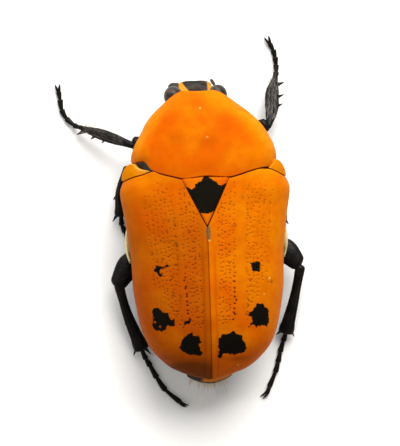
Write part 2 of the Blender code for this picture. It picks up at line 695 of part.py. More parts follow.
def shoulder_plate(side):
    """Mesepimeron: the wedge between the pronotum, the wing case and the breast."""
    turn = 1 if side == "right" else -1
    front_edge = SHOULDER_FRONT[side]
    first, last = front_edge[0][0], front_edge[-1][0]
    rows, columns = 4, 7
    outer, inner = [], []
    for i in range(rows):
        top, low = [], []
        for j in range(columns):
            x = first + (last - first) * j / (columns - 1)
            back = smooth(CASE_FRONT, x) + SOCKET
            y = back + (smooth(front_edge, x) - back) * i / (rows - 1)
            high = SHOULDER_RIM + (SHOULDER_CROWN - SHOULDER_RIM) * rounded(x / (last + 0.05), CASE_POWER)
            top.append(Vector((turn * x, y, high)))
            low.append(Vector((turn * (x - 0.35 * j / columns), y, high - SHOULDER_DEPTH)))
        outer.append(top)
        inner.append(low)
    return shell(f"mesepimeron_{side}", outer, inner)


def flank_plate(side):
    """Metepimeron: the pale upright plate under the edge of the wing case."""
    turn = 1 if side == "right" else -1
    outer, inner = [], []
    for i in range(4):
        z = FLANK_LOW + (FLANK_HIGH - FLANK_LOW) * i / 3
        top, low = [], []
        for j in range(6):
            t = j / 5
            y = FLANK_FRONT + (FLANK_REAR - FLANK_FRONT) * t
            bow = FLANK_BOW * (2 - (2 * i / 3 - 1) ** 2 - (2 * t - 1) ** 2)
            top.append(Vector((turn * (FLANK_OUTER + bow), y, z)))
            low.append(Vector((turn * (smooth(BREAST_WIDTH, y) + SOCKET), y, z)))
        outer.append(top)
        inner.append(low)
    return shell(f"metepimeron_{side}", outer, inner)


def breast_under(x, y):
    """Height of the hind breast's underside."""
    return WAIST - (WAIST - smooth(BREAST_BELLY, y)) * rounded(x / smooth(BREAST_WIDTH, y), UNDER_POWER)


def hind_plate(side):
    """Wide flat coxa of a hind leg, under the hind breast."""
    turn = 1 if side == "right" else -1
    outer, inner = [], []
    for i in range(4):
        y = HIND_PLATE_FRONT + (HIND_PLATE_REAR - HIND_PLATE_FRONT) * i / 3
        top, low = [], []
        for j in range(8):
            x = HIND_PLATE_INNER + (HIND_PLATE_OUTER - HIND_PLATE_INNER) * j / 7
            high = breast_under(x, y) - GAP
            top.append(Vector((turn * x, y, high)))
            low.append(Vector((turn * x, y, max(high - HIND_PLATE_WALL, 0.05))))
        outer.append(top)
        inner.append(low)
    return shell(f"coxa_hind_{side}", outer, inner)


def leg_coxa(place, grow=0.0):
    """First piece of a leg: a short cone, or the wide plate of a hind leg."""
    row, side = place.split("_")
    if row == "hind":
        return hind_plate(side)
    return limb(f"coxa_{place}", LEGS[place]["coxa"], COXA_SHAPE, grow=grow, rings=7)


def leg_femur(place, grow=0.0):
    """Thigh of a leg."""
    kind = place.split("_")[0]
    return limb(f"femur_{place}", LEGS[place]["femur"], FEMUR_SHAPE[kind], grow=grow, rings=10)


def leg_tibia(place, grow=0.0, plain=False):
    """Tibia with its outer teeth and end spurs."""
    kind = place.split("_")[0]
    path = LEGS[place]["tibia"]
    bone = limb(f"tibia_{place}", path, TIBIA_SHAPE[kind], grow=grow)
    if plain:
        return bone
    thorns = []
    for number, (share, tip) in enumerate(LEGS[place]["teeth"]):
        root = along(path, share - 0.04)
        thorns.append(thorn(f"thorn_{number}", root, tip, TOOTH_WIDTH))
    return fuse([bone, *thorns])


def leg_tarsus(place):
    """Five-segment foot with its two claws, flat on the floor."""
    route = [(*point, TARSUS_AXIS) if len(point) == 2 else point for point in LEGS[place]["tarsus"]]
    stations = []
    for k in range(TARSUS_SEGMENTS):
        stations.append((k / TARSUS_SEGMENTS, TARSUS_WAIST, TARSUS_HEIGHT))
        stations.append(((k + 0.8) / TARSUS_SEGMENTS, TARSUS_SWELL, TARSUS_HEIGHT))
    stations.append((1.0, TARSUS_WAIST * 0.8, TARSUS_HEIGHT * 0.8))
    foot = limb(f"tarsus_{place}", route, stations, rings=16, sides=6)
    root = along(route, 0.97)
    claws = []
    for number, tip in enumerate(LEGS[place]["claws"]):
        end = Vector((*tip, CLAW_TIP_HEIGHT))
        middle = (root + end) / 2 + Vector((0, 0, CLAW_ARCH))
        claws.append(limb(f"claw_{number}", (root, middle, end), CLAW_SHAPE, rings=4, sides=5))
    return fuse([foot, *claws])


def legs():
    """All six legs, each part cut clear of the next."""
    for place in LEGS:
        leg_tibia(place)
        leg_tarsus(place)
        carve(leg_femur(place), [leg_tibia(place, SOCKET, plain=True)])
        carve(leg_coxa(place), [leg_femur(place, SOCKET)])


def limbs_of(kinds, make):
    """Cutters a socket's clearance larger than one part of the legs of some kinds."""
    return [make(place, SOCKET) for place in LEGS if place.startswith(kinds)]


def body():
    """Trunk, head and plates, cut clear of the limbs that are set in them."""
    wing_cases()
    shield()
    tail()
    for side in ("left", "right"):
        shoulder_plate(side)
        carve(flank_plate(side), [leg_femur(f"hind_{side}", SOCKET)])
    front = front_breast()
    carve(front, [head_points("cut", SOCKET), *limbs_of("front", leg_coxa)])
    carve(front, [eye(side, SOCKET) for side in ("left", "right")])
    carve(front, limbs_of("front", leg_femur))
    middle = breast()
    carve(middle, limbs_of("mid", leg_coxa))
    carve(middle, limbs_of(("mid", "hind"), leg_femur))
    carve(belly(), limbs_of("hind", leg_femur))
    skull = head_points("head")
    carve(skull, [eye(side, SOCKET) for side in ("left", "right")])
    carve(skull, [stalk(side, SOCKET) for side in ("left", "right")])
    for side in ("left", "right"):
        eye(side)
        feeler(side)
    mouth()


def finish_of(name):
    """Name of the finish that a part has."""
    if name.startswith(("elytron", "prothorax", "mesepimeron")) or name == "scutellum":
        return "orange_shell"
    if name.startswith("metepimeron"):
        return "pale_plate"
    return "eye" if name.startswith("eye") else "black_shell"


def dress(made, finishes):
    """Gives a part its material and smooth shading."""
    made.data.materials.clear()
    made.data.materials.append(finishes[finish_of(made.name)])
    made.data.shade_smooth()
    made.data.set_sharp_from_angle(angle=SMOOTH_ANGLE)


def make_finishes():
    """One material for each finish."""
    finishes = {}
    for name, (colour, roughness) in FINISHES.items():
        finish = bpy.data.materials.new(name)
        finish.use_nodes = True
        shader = finish.node_tree.nodes["Principled BSDF"]
        shader.inputs["Base Color"].default_value = (*colour, 1.0)
        shader.inputs["Roughness"].default_value = roughness
        shader.inputs["Metallic"].default_value = 0.0
        finishes[name] = finish
    return finishes


def main():
    """Builds the beetle in an empty scene."""
    for old in list(bpy.data.objects):
        bpy.data.objects.remove(old)
    body()
    legs()
    group = bpy.data.collections.new("flower_beetle")
    bpy.context.scene.collection.children.link(group)
    finishes = make_finishes()
    for made in list(bpy.context.scene.collection.objects):
        bpy.context.scene.collection.objects.unlink(made)
        group.objects.link(made)
        dress(made, finishes)


main()
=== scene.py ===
"""Dresses the flower beetle with its fine shapes, cuticle, setae and studio.

Places and sizes are millimetres in the body's frame, with the head along +Y, the animal's right
side at +X and the floor at z = 0. They become metres when a mesh is placed.
"""

import logging
import math
from collections.abc import Callable, Sequence
from dataclasses import Field, dataclass, field
from enum import Enum
from functools import cached_property

import bpy
import numpy as np
from mathutils import Matrix


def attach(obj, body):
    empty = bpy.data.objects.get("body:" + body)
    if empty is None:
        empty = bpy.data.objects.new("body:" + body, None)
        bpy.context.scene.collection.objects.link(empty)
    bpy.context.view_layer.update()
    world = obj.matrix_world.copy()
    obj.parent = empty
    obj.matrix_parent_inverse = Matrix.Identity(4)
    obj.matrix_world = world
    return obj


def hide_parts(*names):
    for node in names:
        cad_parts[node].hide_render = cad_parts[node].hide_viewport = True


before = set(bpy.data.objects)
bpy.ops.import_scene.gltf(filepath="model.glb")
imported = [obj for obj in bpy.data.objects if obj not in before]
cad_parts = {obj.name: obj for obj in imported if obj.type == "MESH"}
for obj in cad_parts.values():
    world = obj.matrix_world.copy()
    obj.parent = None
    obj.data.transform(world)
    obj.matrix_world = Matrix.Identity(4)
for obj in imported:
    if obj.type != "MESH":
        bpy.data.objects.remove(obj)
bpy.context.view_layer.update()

log = logging.getLogger("flower_beetle")

MM = 0.001
BODY = "root"
Points = Sequence[tuple[float, ...]]
Colour = tuple[float, float, float]
Array = np.ndarray
Piece = bpy.types.Object

# Wing cases: plan edge, ridge and rim as in the solids, with finer front edges
CASE_EDGE = (
    (7.45, 4.9), (7.78, 3.9), (7.45, 1.7), (7.03, -1.6), (6.88, -4.8),
    (6.33, -8.15), (5.41, -10.35), (3.75, -12.0), (1.9, -12.85), (0.6, -13.18),
)
CASE_FRONT = {
    "LEFT": (
        (0.0, 5.22), (1.9, 5.1), (3.0, 5.35), (4.1, 5.66), (4.75, 5.95),
        (5.1, 5.88), (5.6, 5.7), (6.5, 5.5), (7.45, 5.15),
    ),
    "RIGHT": (
        (0.0, 5.22), (2.1, 5.12), (3.1, 5.33), (4.1, 5.63), (5.2, 5.88),
        (5.8, 5.86), (6.5, 5.6), (7.45, 5.1),
    ),
}
CASE_RIDGE = (
    (-13.3, 5.5), (-12.3, 6.6), (-11.0, 7.65), (-9.0, 8.65), (-7.0, 9.15),
    (-4.0, 9.4), (0.0, 9.4), (3.0, 9.25), (6.0, 9.0),
)
CASE_RIM = ((-13.3, 4.9), (-9.0, 4.9), (-5.0, 5.25), (-1.0, 5.65), (2.5, 5.6), (5.0, 5.75))
CASE_POWER = 2.6
CASE_DROP_SHARE = ((0.0, 0.0), (3.5, 0.0), (6.0, 1.0), (8.0, 1.0))
CASE_BULGES = ((5.5, 3.9, 1.1, 0.22), (3.5, -10.4, 1.2, 0.22))
CASE_SHOULDER_DROP = 0.55
SHIELD_HALF_WIDTH = 2.0
SHIELD_FRONT = 4.86
SHIELD_TIP = 0.87

# Pronotum and the ring of the body under it
NOTUM_EDGE = (
    (6.95, 6.55), (7.3, 6.64), (8.4, 6.42), (9.05, 6.12), (10.0, 5.5),
    (11.1, 4.5), (12.15, 3.2), (12.7, 2.5), (13.1, 1.85), (13.25, 1.3),
)
NOTUM_BASE = (
    (-6.95, 6.9), (-6.6, 6.72), (-6.4, 6.74), (-6.1, 6.82), (-5.73, 6.86), (-5.4, 6.72),
    (-5.18, 6.43), (-4.96, 6.12), (-4.7, 5.95), (-4.1, 5.71), (-3.0, 5.4), (-1.9, 5.15), (0.0, 5.33),
    (2.1, 5.17), (3.1, 5.38), (4.1, 5.68), (5.2, 5.93), (6.0, 6.02), (6.7, 6.66),
)
NOTUM_CROWN = ((6.9, 9.1), (8.0, 8.9), (10.0, 8.35), (11.5, 7.65), (12.5, 6.95), (13.25, 6.15))
NOTUM_RIM = ((6.9, 5.3), (9.0, 5.1), (11.0, 5.2), (12.5, 5.5), (13.25, 5.85))
NOTUM_UNDER = ((6.9, 2.3), (9.0, 2.4), (10.5, 2.8), (11.4, 3.4), (12.1, 5.1), (12.6, 5.45), (13.25, 5.6))
NOTUM_POWER = 2.3
NOTUM_BEND_FROM = 10.0
LEAN = 0.06
LEAN_FROM = 8.0

# Breast and belly
BREAST_WIDTH = ((-3.8, 6.0), (-1.5, 6.1), (1.0, 6.55), (3.5, 6.75), (4.6, 6.1), (5.3, 4.9), (6.3, 4.0))
BREAST_BELLY = ((-3.8, 1.75), (-1.7, 1.5), (-1.2, -0.15), (2.4, -0.15), (3.8, 0.9), (5.3, 1.9), (6.3, 2.6))
BELLY_UNDER = ((-12.6, 2.75), (-11.0, 1.9), (-9.0, 1.25), (-6.5, 1.1), (-4.1, 1.6))
UNDER_POWER = 2.1
WAIST = 4.4

# Tail plate: place along the body, height and half width from its top to its lower edge
TAIL_ROWS = ((-13.2, 4.6, 2.25), (-13.7, 3.6, 2.05), (-13.35, 2.5, 1.2))
TAIL_BOW = 0.7
TAIL_SHIFT = 0.12

# Head
HEAD_AT = (-0.5, 12.0, 4.65)
HEAD_DOWN = (0.0, 0.62, -0.785)
HEAD_SHAPE = (
    (0.0, 1.5, 0.7), (0.25, 2.1, 1.0), (0.8, 2.3, 1.15), (1.5, 2.05, 1.0),
    (2.2, 1.65, 0.75), (3.0, 1.55, 0.5), (3.35, 1.4, 0.28),
)
EYE_AT = (2.06, 12.87, 4.3)
EYE_SIZE = (0.86, 0.94, 0.95)

# Joint places of each leg, close to those of the solids
LEGS = {
    "front_left": {
        "coxa": ((-0.95, 9.2, 2.9), (-1.35, 8.8, 2.2), (-1.8, 8.2, 1.2)),
        "femur": ((-1.9, 8.1, 1.25), (-4.1, 8.25, 2.25), (-6.35, 8.75, 3.2)),
        "tibia": ((-6.45, 8.52, 3.2), (-8.9, 9.5, 2.05), (-11.2, 10.4, 0.95)),
        "tarsus": (
            (-11.55, 10.52, 0.6), (-11.8, 10.67, 0.4),
            (-12.47, 11.3), (-12.89, 12.11), (-13.02, 13.05), (-13.12, 13.8),
        ),
        "claws": ((-13.42, 14.5), (-13.02, 14.55)),
        "teeth": ((0.55, (-9.3, 8.85, 1.6)), (0.74, (-10.3, 9.25, 1.25)), (0.95, (-11.6, 9.75, 0.8))),
    },
    "front_right": {
        "coxa": ((0.95, 9.2, 2.9), (1.35, 8.8, 2.2), (1.8, 8.2, 1.2)),
        "femur": ((1.9, 8.1, 1.25), (3.9, 9.1, 2.25), (5.98, 10.0, 3.2)),
        "tibia": ((6.19, 9.72, 3.2), (6.57, 11.4, 2.4), (6.71, 12.95, 1.65), (7.1, 14.5, 0.95)),
        "tarsus": (
            (7.1, 14.55, 0.6), (7.22, 14.94, 0.4),
            (7.23, 15.6), (7.17, 16.31), (7.02, 16.98), (6.74, 17.58),
        ),
        "claws": ((6.25, 18.25), (6.65, 18.4)),
        "teeth": (
            (0.44, (7.66, 11.92, 1.9)), (0.62, (7.82, 12.8, 1.5)),
            (0.88, (7.94, 13.98, 0.9)), (0.66, (6.5, 13.9, 1.25)),
        ),
    },
    "mid_left": {
        "coxa": ((-1.9, 3.3, 1.7), (-2.4, 3.4, 1.15), (-3.0, 3.6, 0.85)),
        "femur": ((-3.1, 3.7, 0.95), (-5.1, 5.1, 1.9), (-6.8, 6.35, 2.9)),
        "tibia": ((-7.05, 6.4, 2.95), (-7.75, 4.3, 1.95), (-7.76, 2.2, 0.95)),
        "tarsus": (
            (-7.72, 1.62, 0.5), (-7.68, 1.2, 0.35),
            (-7.42, 0.54), (-7.12, -0.22), (-6.92, -0.97), (-6.76, -1.8),
        ),
        "claws": ((-6.75, -2.55), (-6.35, -2.45)),
        "teeth": ((0.62, (-8.42, 3.55, 1.5)), (0.97, (-8.55, 1.5, 0.6)), (0.97, (-7.0, 1.5, 0.6))),
    },
    "mid_right": {
        "coxa": ((1.9, 3.3, 1.7), (2.4, 3.4, 1.15), (3.0, 3.6, 0.85)),
        "femur": ((3.1, 3.7, 0.95), (5.3, 4.4, 1.9), (7.2, 4.95, 2.9)),
        "tibia": ((7.36, 4.75, 2.95), (7.28, 2.9, 1.95), (7.12, 1.25, 0.95)),
        "tarsus": (
            (7.1, 0.68, 0.5), (7.06, 0.3, 0.35),
            (6.93, -0.36), (6.72, -1.01), (6.51, -1.65), (6.29, -2.4),
        ),
        "claws": ((6.2, -3.1), (5.85, -2.95)),
        "teeth": ((0.62, (7.78, 2.4, 1.5)), (0.97, (7.85, 0.7, 0.6)), (0.97, (6.35, 0.65, 0.6))),
    },
    "hind_left": {
        "coxa": (),
        "femur": ((-2.45, -3.9, 0.85), (-4.7, -2.95, 1.9), (-6.85, -2.45, 2.85), (-8.4, -4.4, 3.1)),
        "tibia": ((-8.2, -4.3, 3.1), (-7.45, -7.2, 2.15), (-6.25, -10.4, 0.9)),
        "tarsus": (
            (-6.08, -10.95, 0.5), (-5.9, -11.35, 0.36),
            (-5.55, -12.0), (-4.97, -13.12), (-4.2, -14.3), (-2.85, -15.52),
        ),
        "claws": ((-2.05, -15.84), (-2.25, -16.0)),
        "teeth": ((0.6, (-7.75, -8.1, 1.6)), (0.97, (-7.05, -11.0, 0.5)), (0.97, (-5.4, -10.95, 0.5))),
    },
    "hind_right": {
        "coxa": (),
        "femur": ((2.45, -3.75, 0.85), (4.7, -2.3, 1.9), (7.0, -1.65, 2.85), (8.58, -3.05, 3.1)),
        "tibia": ((8.66, -3.25, 3.1), (8.0, -6.3, 2.15), (7.2, -9.35, 0.9)),
        "tarsus": (
            (7.1, -9.75, 0.6), (6.95, -10.2, 0.4),
            (6.66, -11.13), (6.42, -12.09), (6.14, -12.99), (5.5, -14.4),
        ),
        "claws": ((4.62, -15.3), (4.85, -15.48)),
        "teeth": ((0.6, (8.35, -7.1, 1.6)), (0.97, (8.0, -9.8, 0.5)), (0.97, (6.25, -9.6, 0.5))),
    },
}
TARSUS_AXIS = 0.24


class Slot(Enum):
    """Material slots of the record."""

    ORANGE = "orange_shell"
    BLACK = "black_shell"
    LEG = "black_leg"
    PALE = "pale_plate"
    EYE = "eye"


class Side(Enum):
    """Sides of the animal, with the sign of X on each."""

    LEFT = -1
    RIGHT = 1

    @property
    def word(self) -> str:
        """Side as it stands in a node's name."""
        return self.name.lower()


def by_side(left: object, right: object) -> Field:
    """Field of a dataclass that holds a value for each side."""
    return field(default_factory=lambda: {Side.LEFT: left, Side.RIGHT: right})


@dataclass(frozen=True)
class Curve:
    """Smooth curve through (place, value) points with rising places, held level past its ends."""

    points: Points

    def __call__(self, at: Array | float) -> Array:
        """Reads the curve.

        Args:
            at: Places to read it at.

        Returns:
            The values there.
        """
        places, values = np.array(self.points, float).T
        width = np.diff(places)
        rises = np.diff(values) / width
        before, after = rises[:-1], rises[1:]
        same_way = before * after > 0
        inner = np.where(same_way, 2 * before * after / np.where(same_way, before + after, 1.0), 0.0)
        slopes = np.concatenate(([rises[0]], inner, [rises[-1]]))
        at = np.clip(at, places[0], places[-1])
        k = np.clip(np.searchsorted(places, at, side="right") - 1, 0, len(places) - 2)
        t = (at - places[k]) / width[k]
        start = (1 + 2 * t) * (1 - t) ** 2 * values[k] + t * (1 - t) ** 2 * width[k] * slopes[k]
        return start + t * t * (3 - 2 * t) * values[k + 1] + t * t * (t - 1) * width[k] * slopes[k + 1]


@dataclass(frozen=True)
class Route:
    """Smooth path through points, each stretch an equal share, straight past its ends."""

    points: Points

    def inside(self, share: Array) -> Array:
        """Reads the path between its ends.

        Args:
            share: Shares from 0 to 1.

        Returns:
            One point for each share.
        """
        knots = np.array(self.points, float)
        knots = np.vstack([2 * knots[0] - knots[1], knots, 2 * knots[-1] - knots[-2]])
        place = share * (len(self.points) - 1)
        k = np.clip(place.astype(int), 0, len(self.points) - 2)
        t = (place - k)[..., None]
        a, b, c, d = knots[k], knots[k + 1], knots[k + 2], knots[k + 3]
        return 0.5 * (
            2 * b + (c - a) * t + (2 * a - 5 * b + 4 * c - d) * t**2 + (3 * b - a - 3 * c + d) * t**3
        )

    def at(self, share: Array | float) -> Array:
        """Reads the path, also past its ends.

        Args:
            share: Shares of the way.

        Returns:
            One point for each share.
        """
        share = np.asarray(share, float)
        held = np.clip(share, 0.0, 1.0)
        return self.inside(held) + self.heading(held) * ((share - held) * self.length)[..., None]

    def heading(self, share: Array | float) -> Array:
        """Unit directions at shares of the way.

        Args:
            share: Shares of the way.

        Returns:
            One direction for each share.
        """
        share = np.asarray(share, float)
        way = self.inside(np.minimum(share + 0.01, 1.0)) - self.inside(np.maximum(share - 0.01, 0.0))
        return way / np.linalg.norm(way, axis=-1, keepdims=True)

    @cached_property
    def length(self) -> float:
        """Length of the path in millimetres."""
        steps = np.diff(self.inside(np.linspace(0, 1, 200)), axis=0)
        return float(np.linalg.norm(steps, axis=1).sum())

    def frame(self, share: Array, up: Sequence[float]) -> tuple[Array, Array]:
        """Cross directions of a piece laid along the path.

        Args:
            share: Shares of the way.
            up: Direction that the piece's flat side faces.

        Returns:
            Unit directions across the piece and through its thickness.
        """
        heading = self.heading(share)
        across = np.cross(heading, np.array(up, float))
        across /= np.linalg.norm(across, axis=-1, keepdims=True)
        return across, np.cross(across, heading)


def lean(y: Array) -> Array:
    """Sideways place of the mid-line, which leans to the left toward the head."""
    return -LEAN * np.maximum(0.0, y - LEAN_FROM)


def rounded(share: Array, power: float) -> Array:
    """Height share of a rounded arch at shares of its half width."""
    return np.maximum(0.0, 1.0 - np.minimum(np.abs(share), 1.0) ** power) ** (1.0 / power)


def ease(value: Array, low: float, high: float) -> Array:
    """Smooth step from 0 at low to 1 at high."""
    t = np.clip((value - low) / (high - low), 0.0, 1.0)
    return t * t * (3 - 2 * t)


def bell(offset: Array, reach: float) -> Array:
    """Bell shape that is 1 where the offset is 0 and fades within its reach."""
    return np.exp(-((offset / reach) ** 2))


def between(value: Array, start: float, full: float, fading: float, end: float) -> Array:
    """Smooth plateau that rises from start to full and falls from fading to end."""
    return ease(value, start, full) * (1 - ease(value, fading, end))


def signed_power(value: Array, power: float) -> Array:
    """Power of a value's size, with the sign kept."""
    return np.copysign(np.abs(value) ** power, value)


def under_height(under: Array, share: Array) -> Array:
    """Height of the underside at shares of its half width, where under is its lowest height."""
    return WAIST - (WAIST - under) * rounded(share, UNDER_POWER)


def ripple(x: Array, y: Array, size: float, seed: int) -> Array:
    """Soft uneven waves over a surface.

    Args:
        x: Places across it.
        y: Places along it.
        size: Length of a wave in millimetres.
        seed: Number that picks the waves.

    Returns:
        Heights between about -1 and 1.
    """
    draw = np.random.default_rng(seed)
    total = np.zeros_like(x)
    for _ in range(7):
        turn = draw.uniform(0, math.tau)
        pace = math.tau / size * draw.uniform(0.6, 1.6)
        total += np.sin(pace * (x * math.cos(turn) + y * math.sin(turn)) + draw.uniform(0, math.tau))
    return total / 4.0


def outline_depth(x: Array, y: Array, outline: Points) -> Array:
    """How far points lie inside a closed outline.

    Args:
        x: Places of the points.
        y: Places of the points.
        outline: Corners of the outline.

    Returns:
        Distances to the outline in millimetres, negative outside it.
    """
    corners = np.array(outline, float)
    nearest = np.full(x.shape, 1e9)
    within = np.zeros(x.shape, bool)
    for (ax, ay), (bx, by) in zip(corners, np.roll(corners, -1, axis=0)):
        way_x, way_y = bx - ax, by - ay
        t = np.clip(((x - ax) * way_x + (y - ay) * way_y) / (way_x**2 + way_y**2), 0, 1)
        nearest = np.minimum(nearest, np.hypot(x - ax - t * way_x, y - ay - t * way_y))
        crosses = (ay > y) != (by > y)
        level = way_y if way_y else 1.0
        within ^= crosses & (x < ax + (y - ay) / level * way_x)
    return np.where(within, nearest, -nearest)


# Operators and meshes


def deselect_all() -> None:
    """Leaves nothing selected, so that an operator acts on its own piece alone."""
    bpy.ops.object.select_all(action="DESELECT")


def pick(piece: Piece) -> None:
    """Makes one piece the only one selected and the active one.

    Args:
        piece: Piece to select.
    """
    deselect_all()
    piece.select_set(True)
    bpy.context.view_layer.objects.active = piece


def named(name: str) -> Piece:
    """Names the object that an operator has just added.

    Args:
        name: New name.

    Returns:
        The object.
    """
    piece = bpy.context.object
    piece.name = name
    piece.data.name = name
    return piece


def read_points(piece: Piece) -> Array:
    """Places of a mesh's points, one row each.

    Args:
        piece: Piece to read.

    Returns:
        The places in metres.
    """
    flat = np.empty(len(piece.data.vertices) * 3, np.float32)
    piece.data.vertices.foreach_get("co", flat)
    return flat.reshape(-1, 3).astype(float)


def write_points(piece: Piece, points: Array) -> None:
    """Sets the places of a mesh's points."""
    piece.data.vertices.foreach_set("co", np.ascontiguousarray(points, np.float32).ravel())
    piece.data.update()


def write_mark(piece: Piece, name: str, values: Array) -> None:
    """Keeps one number for each point of a mesh, for its finish to read."""
    mark = piece.data.attributes.new(name, "FLOAT", "POINT")
    mark.data.foreach_set("value", np.ascontiguousarray(values, np.float32).ravel())


def finish_with(piece: Piece, kind: str, **settings: object) -> None:
    """Adds a modifier to a piece and applies it.

    Args:
        piece: Piece to change.
        kind: Modifier type.
        **settings: Its settings.
    """
    pick(piece)
    modifier = piece.modifiers.new(kind.title(), kind)
    for name, value in settings.items():
        setattr(modifier, name, value)
    bpy.ops.object.modifier_apply(modifier=modifier.name)


def edit_faces(piece: Piece, operator: Callable, **settings: object) -> None:
    """Runs an edit operator on every face of a piece.

    Args:
        piece: Piece to change.
        operator: The operator.
        **settings: Its settings.
    """
    pick(piece)
    bpy.ops.object.mode_set(mode="EDIT")
    bpy.ops.mesh.select_all(action="SELECT")
    operator(**settings)
    bpy.ops.object.mode_set(mode="OBJECT")


def face_outwards(piece: Piece) -> None:
    """Turns every face of a closed piece outwards."""
    edit_faces(piece, bpy.ops.mesh.normals_make_consistent, inside=False)


def shade(piece: Piece, degrees: float = 45.0) -> None:
    """Shades a piece smooth up to an angle between its faces."""
    pick(piece)
    bpy.ops.object.shade_smooth_by_angle(angle=math.radians(degrees))


def join(pieces: Sequence[Piece]) -> Piece:
    """Joins pieces into the first one.

    Args:
        pieces: Pieces of one kind.

    Returns:
        The first piece, with all their meshes.
    """
    pick(pieces[0])
    for piece in pieces[1:]:
        piece.select_set(True)
    bpy.ops.object.join()
    return pieces[0]


class Sheet:
    """Open sheet of points, in rows along it and columns across it, that becomes a plate."""

    def __init__(self, rows: int, columns: int, outward: Sequence[float] = (0, 0, 1)) -> None:
        """Lays out the shares.

        Args:
            rows: Steps along the sheet.
            columns: Steps across it.
            outward: Direction that the sheet faces on the whole.
        """
        steps = np.linspace(0, 1, rows + 1), np.linspace(0, 1, columns + 1)
        self.along, self.across = np.meshgrid(*steps, indexing="ij")
        self.points = np.zeros((*self.along.shape, 3))
        self.marks: dict[str, Array] = {}
        self.outward = np.array(outward, float)
        self.lining = self.lining_way = np.zeros(0)

    def normals(self) -> Array:
        """Unit directions out of the sheet at each point.

        Returns:
            One direction for each point.
        """
        normal = np.cross(np.gradient(self.points, axis=1), np.gradient(self.points, axis=0))
        normal /= np.maximum(np.linalg.norm(normal, axis=-1, keepdims=True), 1e-12)
        return normal * (1.0 if (normal @ self.outward).mean() > 0 else -1.0)

    def hold_lining(self) -> None:
        """Keeps the sheet as it is now, for the inner side of its wall."""
        self.lining = self.points.copy()
        self.lining_way = -self.normals()

    def mirror(self) -> None:
        """Turns a sheet of the right side into one of the left side."""
        for points in (self.points, self.lining, self.lining_way, self.outward):
            points[..., 0] *= -1

    def push(self, amount: Array) -> None:
        """Moves each point out of the sheet by an amount of its own."""
        self.points = self.points + self.normals() * amount[..., None]

    def border_distances(self) -> dict[str, Array]:
        """Distances over the sheet to each of its borders.

        Returns:
            Distances in millimetres by the name of the border.
        """
        down = np.linalg.norm(np.diff(self.points, axis=0), axis=-1)
        side = np.linalg.norm(np.diff(self.points, axis=1), axis=-1)
        from_first = np.vstack([np.zeros((1, down.shape[1])), np.cumsum(down, axis=0)])
        from_left = np.hstack([np.zeros((side.shape[0], 1)), np.cumsum(side, axis=1)])
        return {
            "first": from_first,
            "last": from_first[-1] - from_first,
            "left": from_left,
            "right": from_left[:, -1:] - from_left,
        }

    def round_borders(self, **radii: float) -> None:
        """Rounds the sheet down toward its borders.

        Args:
            **radii: Radius for each border by its name.
        """
        distances = self.border_distances()
        self.hold_lining()
        short = {
            border: np.clip(1 - distances[border] / radius, 0, 1) ** 2
            for border, radius in radii.items()
        }
        whole = sum(short.values())
        radius = sum(share * radii[border] for border, share in short.items()) / np.maximum(whole, 1e-9)
        self.push(-radius * (1 - np.sqrt(1 - np.minimum(whole, 1.0))))

    def build(self, name: str, wall: float, spread: Array | float = 1.0) -> Piece:
        """Makes the plate, with its wall on the inner side.

        Args:
            name: Name of the piece.
            wall: Thickness of the wall.
            spread: Share of the wall's thickness at each point.

        Returns:
            The closed piece.
        """
        rows, columns = self.along.shape
        deselect_all()
        bpy.ops.mesh.primitive_grid_add(x_subdivisions=columns - 1, y_subdivisions=rows - 1, size=1.0)
        piece = named(name)
        flat = read_points(piece)
        order = np.lexsort((np.round(flat[:, 0], 5), np.round(flat[:, 1], 5)))
        placed = np.empty_like(flat)
        placed[order] = self.points.reshape(-1, 3) * MM
        write_points(piece, placed)
        for mark, values in self.marks.items():
            ordered = np.empty(values.size)
            ordered[order] = values.ravel()
            write_mark(piece, mark, ordered)
        if not self.lining.size:
            self.hold_lining()
        self.turn_out(piece)
        finish_with(piece, "SOLIDIFY", thickness=wall * MM, offset=-1.0)
        self.lay_lining(piece, order, wall, spread)
        shade(piece)
        return piece

    def lay_lining(self, piece: Piece, order: Array, wall: float, spread: Array | float) -> None:
        """Sets the inner side of the wall straight below the unrounded sheet.

        Args:
            piece: The plate, its outer points first.
            order: Number of each of the sheet's points in the mesh.
            wall: Thickness of the wall.
            spread: Share of the wall's thickness at each point.
        """
        depth = wall * np.broadcast_to(spread, self.along.shape)
        inner = self.lining + self.lining_way * depth[..., None]
        points = read_points(piece)
        count = self.along.size
        points[count + order] = inner.reshape(-1, 3) * MM
        write_points(piece, points)

    def turn_out(self, piece: Piece) -> None:
        """Flips the open sheet's faces where they look inwards.

        Args:
            piece: The open sheet's mesh.
        """
        piece.data.update()
        total = sum((np.array(face.normal) * face.area for face in piece.data.polygons), np.zeros(3))
        if total @ self.outward < 0:
            edit_faces(piece, bpy.ops.mesh.flip_normals)


def ball(name: str, sides: int, rings: int, size: Sequence[float], centre: Sequence[float]) -> Piece:
    """Rounded piece drawn from a sphere.

    Args:
        name: Name of the piece.
        sides: Points round it.
        rings: Rows of faces from top to bottom.
        size: Half width along each axis.
        centre: Place of its middle.

    Returns:
        The piece.
    """
    deselect_all()
    bpy.ops.mesh.primitive_uv_sphere_add(segments=sides, ring_count=rings, radius=MM)
    piece = named(name)
    write_points(piece, read_points(piece) * size + np.array(centre) * MM)
    shade(piece)
    return piece


